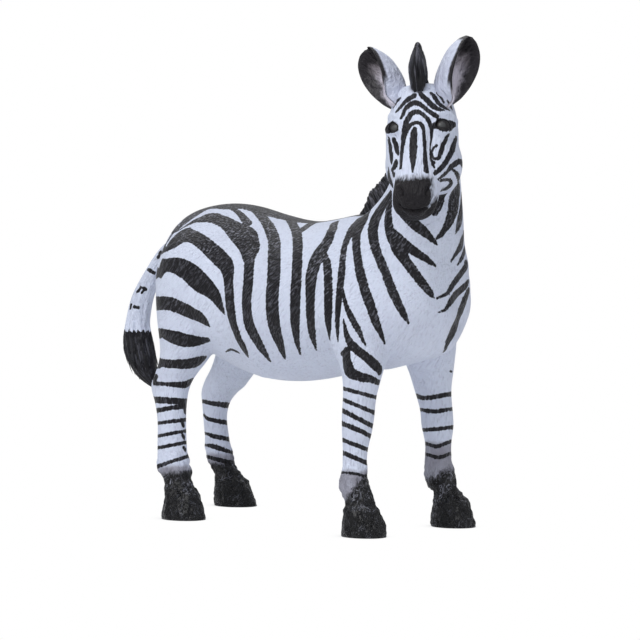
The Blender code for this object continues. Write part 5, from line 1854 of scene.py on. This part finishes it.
def build_figure() -> None:
    """Makes and hands over every piece of the figure."""
    view = PhotoView()
    view.make_camera()
    maker = Skin(view=view)
    head_frame = maker.head_frame()
    skin = maker.build()
    maker.carve(skin, BODY_RELIEF_PX, tree_of(skin), True)
    maker.carve(skin, FAR_RELIEF_PX, tree_of(skin), False)
    log.info("skin %d faces", len(skin.data.polygons))
    pieces = Mouldings().build(skin)
    bpy.data.objects.remove(skin, do_unlink=True)

    for name in LEGS:
        Feet().shape(pieces[name])
    head = pieces["head"]
    finer = head.modifiers.new("finer", "SUBSURF")
    finer.levels = finer.render_levels = 1
    bake(head)
    head_tree = tree_of(head)
    body_tree = tree_of(*(obj for name, obj in pieces.items() if name != "head"))
    eyes = Eyes(view, head_tree)
    balls = {name: eyes.build(name) for name in EYE_PLACES_PX}

    coat = Coat(view, body_tree, head_tree, head_frame)
    body_stripes, head_stripes = coat.body_stripes(), coat.head_stripes()
    for name, obj in pieces.items():
        points = points_of(obj)
        stripe = coat.paint(obj, head_stripes if name == "head" else body_stripes)
        dip = np.zeros(len(points))
        muzzle = np.full(len(points), FAR)
        if name in LEGS:
            stripe = np.minimum(stripe, coat.bands(obj, LEG_BANDS_PX[name]))
            dip = coat.feet(name, points)
        if name == "head":
            muzzle, down = coat.muzzle(obj)
            stripe = np.where(down > BARE_FROM, np.maximum(stripe, BARE), stripe)
        set_values(obj, Attr.STRIPE, stripe)
        set_values(obj, Attr.DIP, dip)
        set_values(obj, Attr.MUZZLE, muzzle)
        # Painted highlights show more towards the top of the trunk, where the light falls
        upper = 0.25 + 0.75 * smooth_step(points[:, 2], 36, 55)
        set_values(obj, Attr.PAINTED_GLINT, upper if name == "trunk" else np.full(len(points), PAINTED_GLINT_SHARES[name]))
        comb(obj, name, head_frame.inverted())
    eyes.lids(head)
    maker.carve(head, HEAD_RELIEF_PX, head_tree, False)

    blade, tail, ears = Mane().build(), Tail().build(), Ears(head_frame)
    shells = {name: ears.build(name) for name in EAR_ROOTS}
    for name, shell in shells.items():
        coat.lines_on_ear(shell)
    on_head = tuple((shell, 0.22) for shell in shells.values())
    meets = {"trunk": ((tail, 0.6), (blade, 1.0)), "neck": ((blade, 1.0),), "head": ((blade, 1.0), *on_head)}
    for name, obj in pieces.items():
        paint_joint_shade(obj, meets.get(name, ()))
    paint_joint_shade(tail, ((pieces["trunk"], 0.6),))
    for shell in shells.values():
        paint_joint_shade(shell, ((head, 0.15),))

    coat_finish = CoatFinish().build("coat_paint")
    hair_finish = HairFinish().build("mane_hair_paint")
    for name, obj in pieces.items():
        hand_over(obj, f"{name}_skin", name, coat_finish)

    mane_hair = Hair(per_mm2=2.0, length=1.7, width=0.15, flat=0.40, stray=0.04, seed=4)
    locks = mane_hair.grow("mane_locks", blade, hair_finish)
    hand_over(blade, "mane_blade", "mane", hair_finish)
    hand_over(locks, "mane_locks", None, None)

    # the tuft's painted highlights are dimmer
    tuft_finish = HairFinish(ridge=(0.06, 0.06, 0.075)).build("tuft_hair_paint")
    tail_hair = Hair(per_mm2=1.6, length=2.4, width=0.20, flat=0.4, stray=0.05, seed=9)
    locks = tail_hair.grow("tail_locks", tail, tuft_finish)
    hand_over(tail, "tail_skin", "tail", coat_finish)
    hand_over(locks, "tail_locks", None, None)

    ear_finish = EarFinish().build("ear_paint")
    for name, shell in shells.items():
        hand_over(shell, f"{name}_shell", name, ear_finish)
    eye_finish = EyeFinish().build("eye_gloss")
    for name, ball in balls.items():
        hand_over(ball, f"{name}_ball", None, eye_finish)


def main() -> None:
    """Builds the figure and the studio."""
    build_figure()
    Studio().build()


if __name__ == "__main__":
    main()
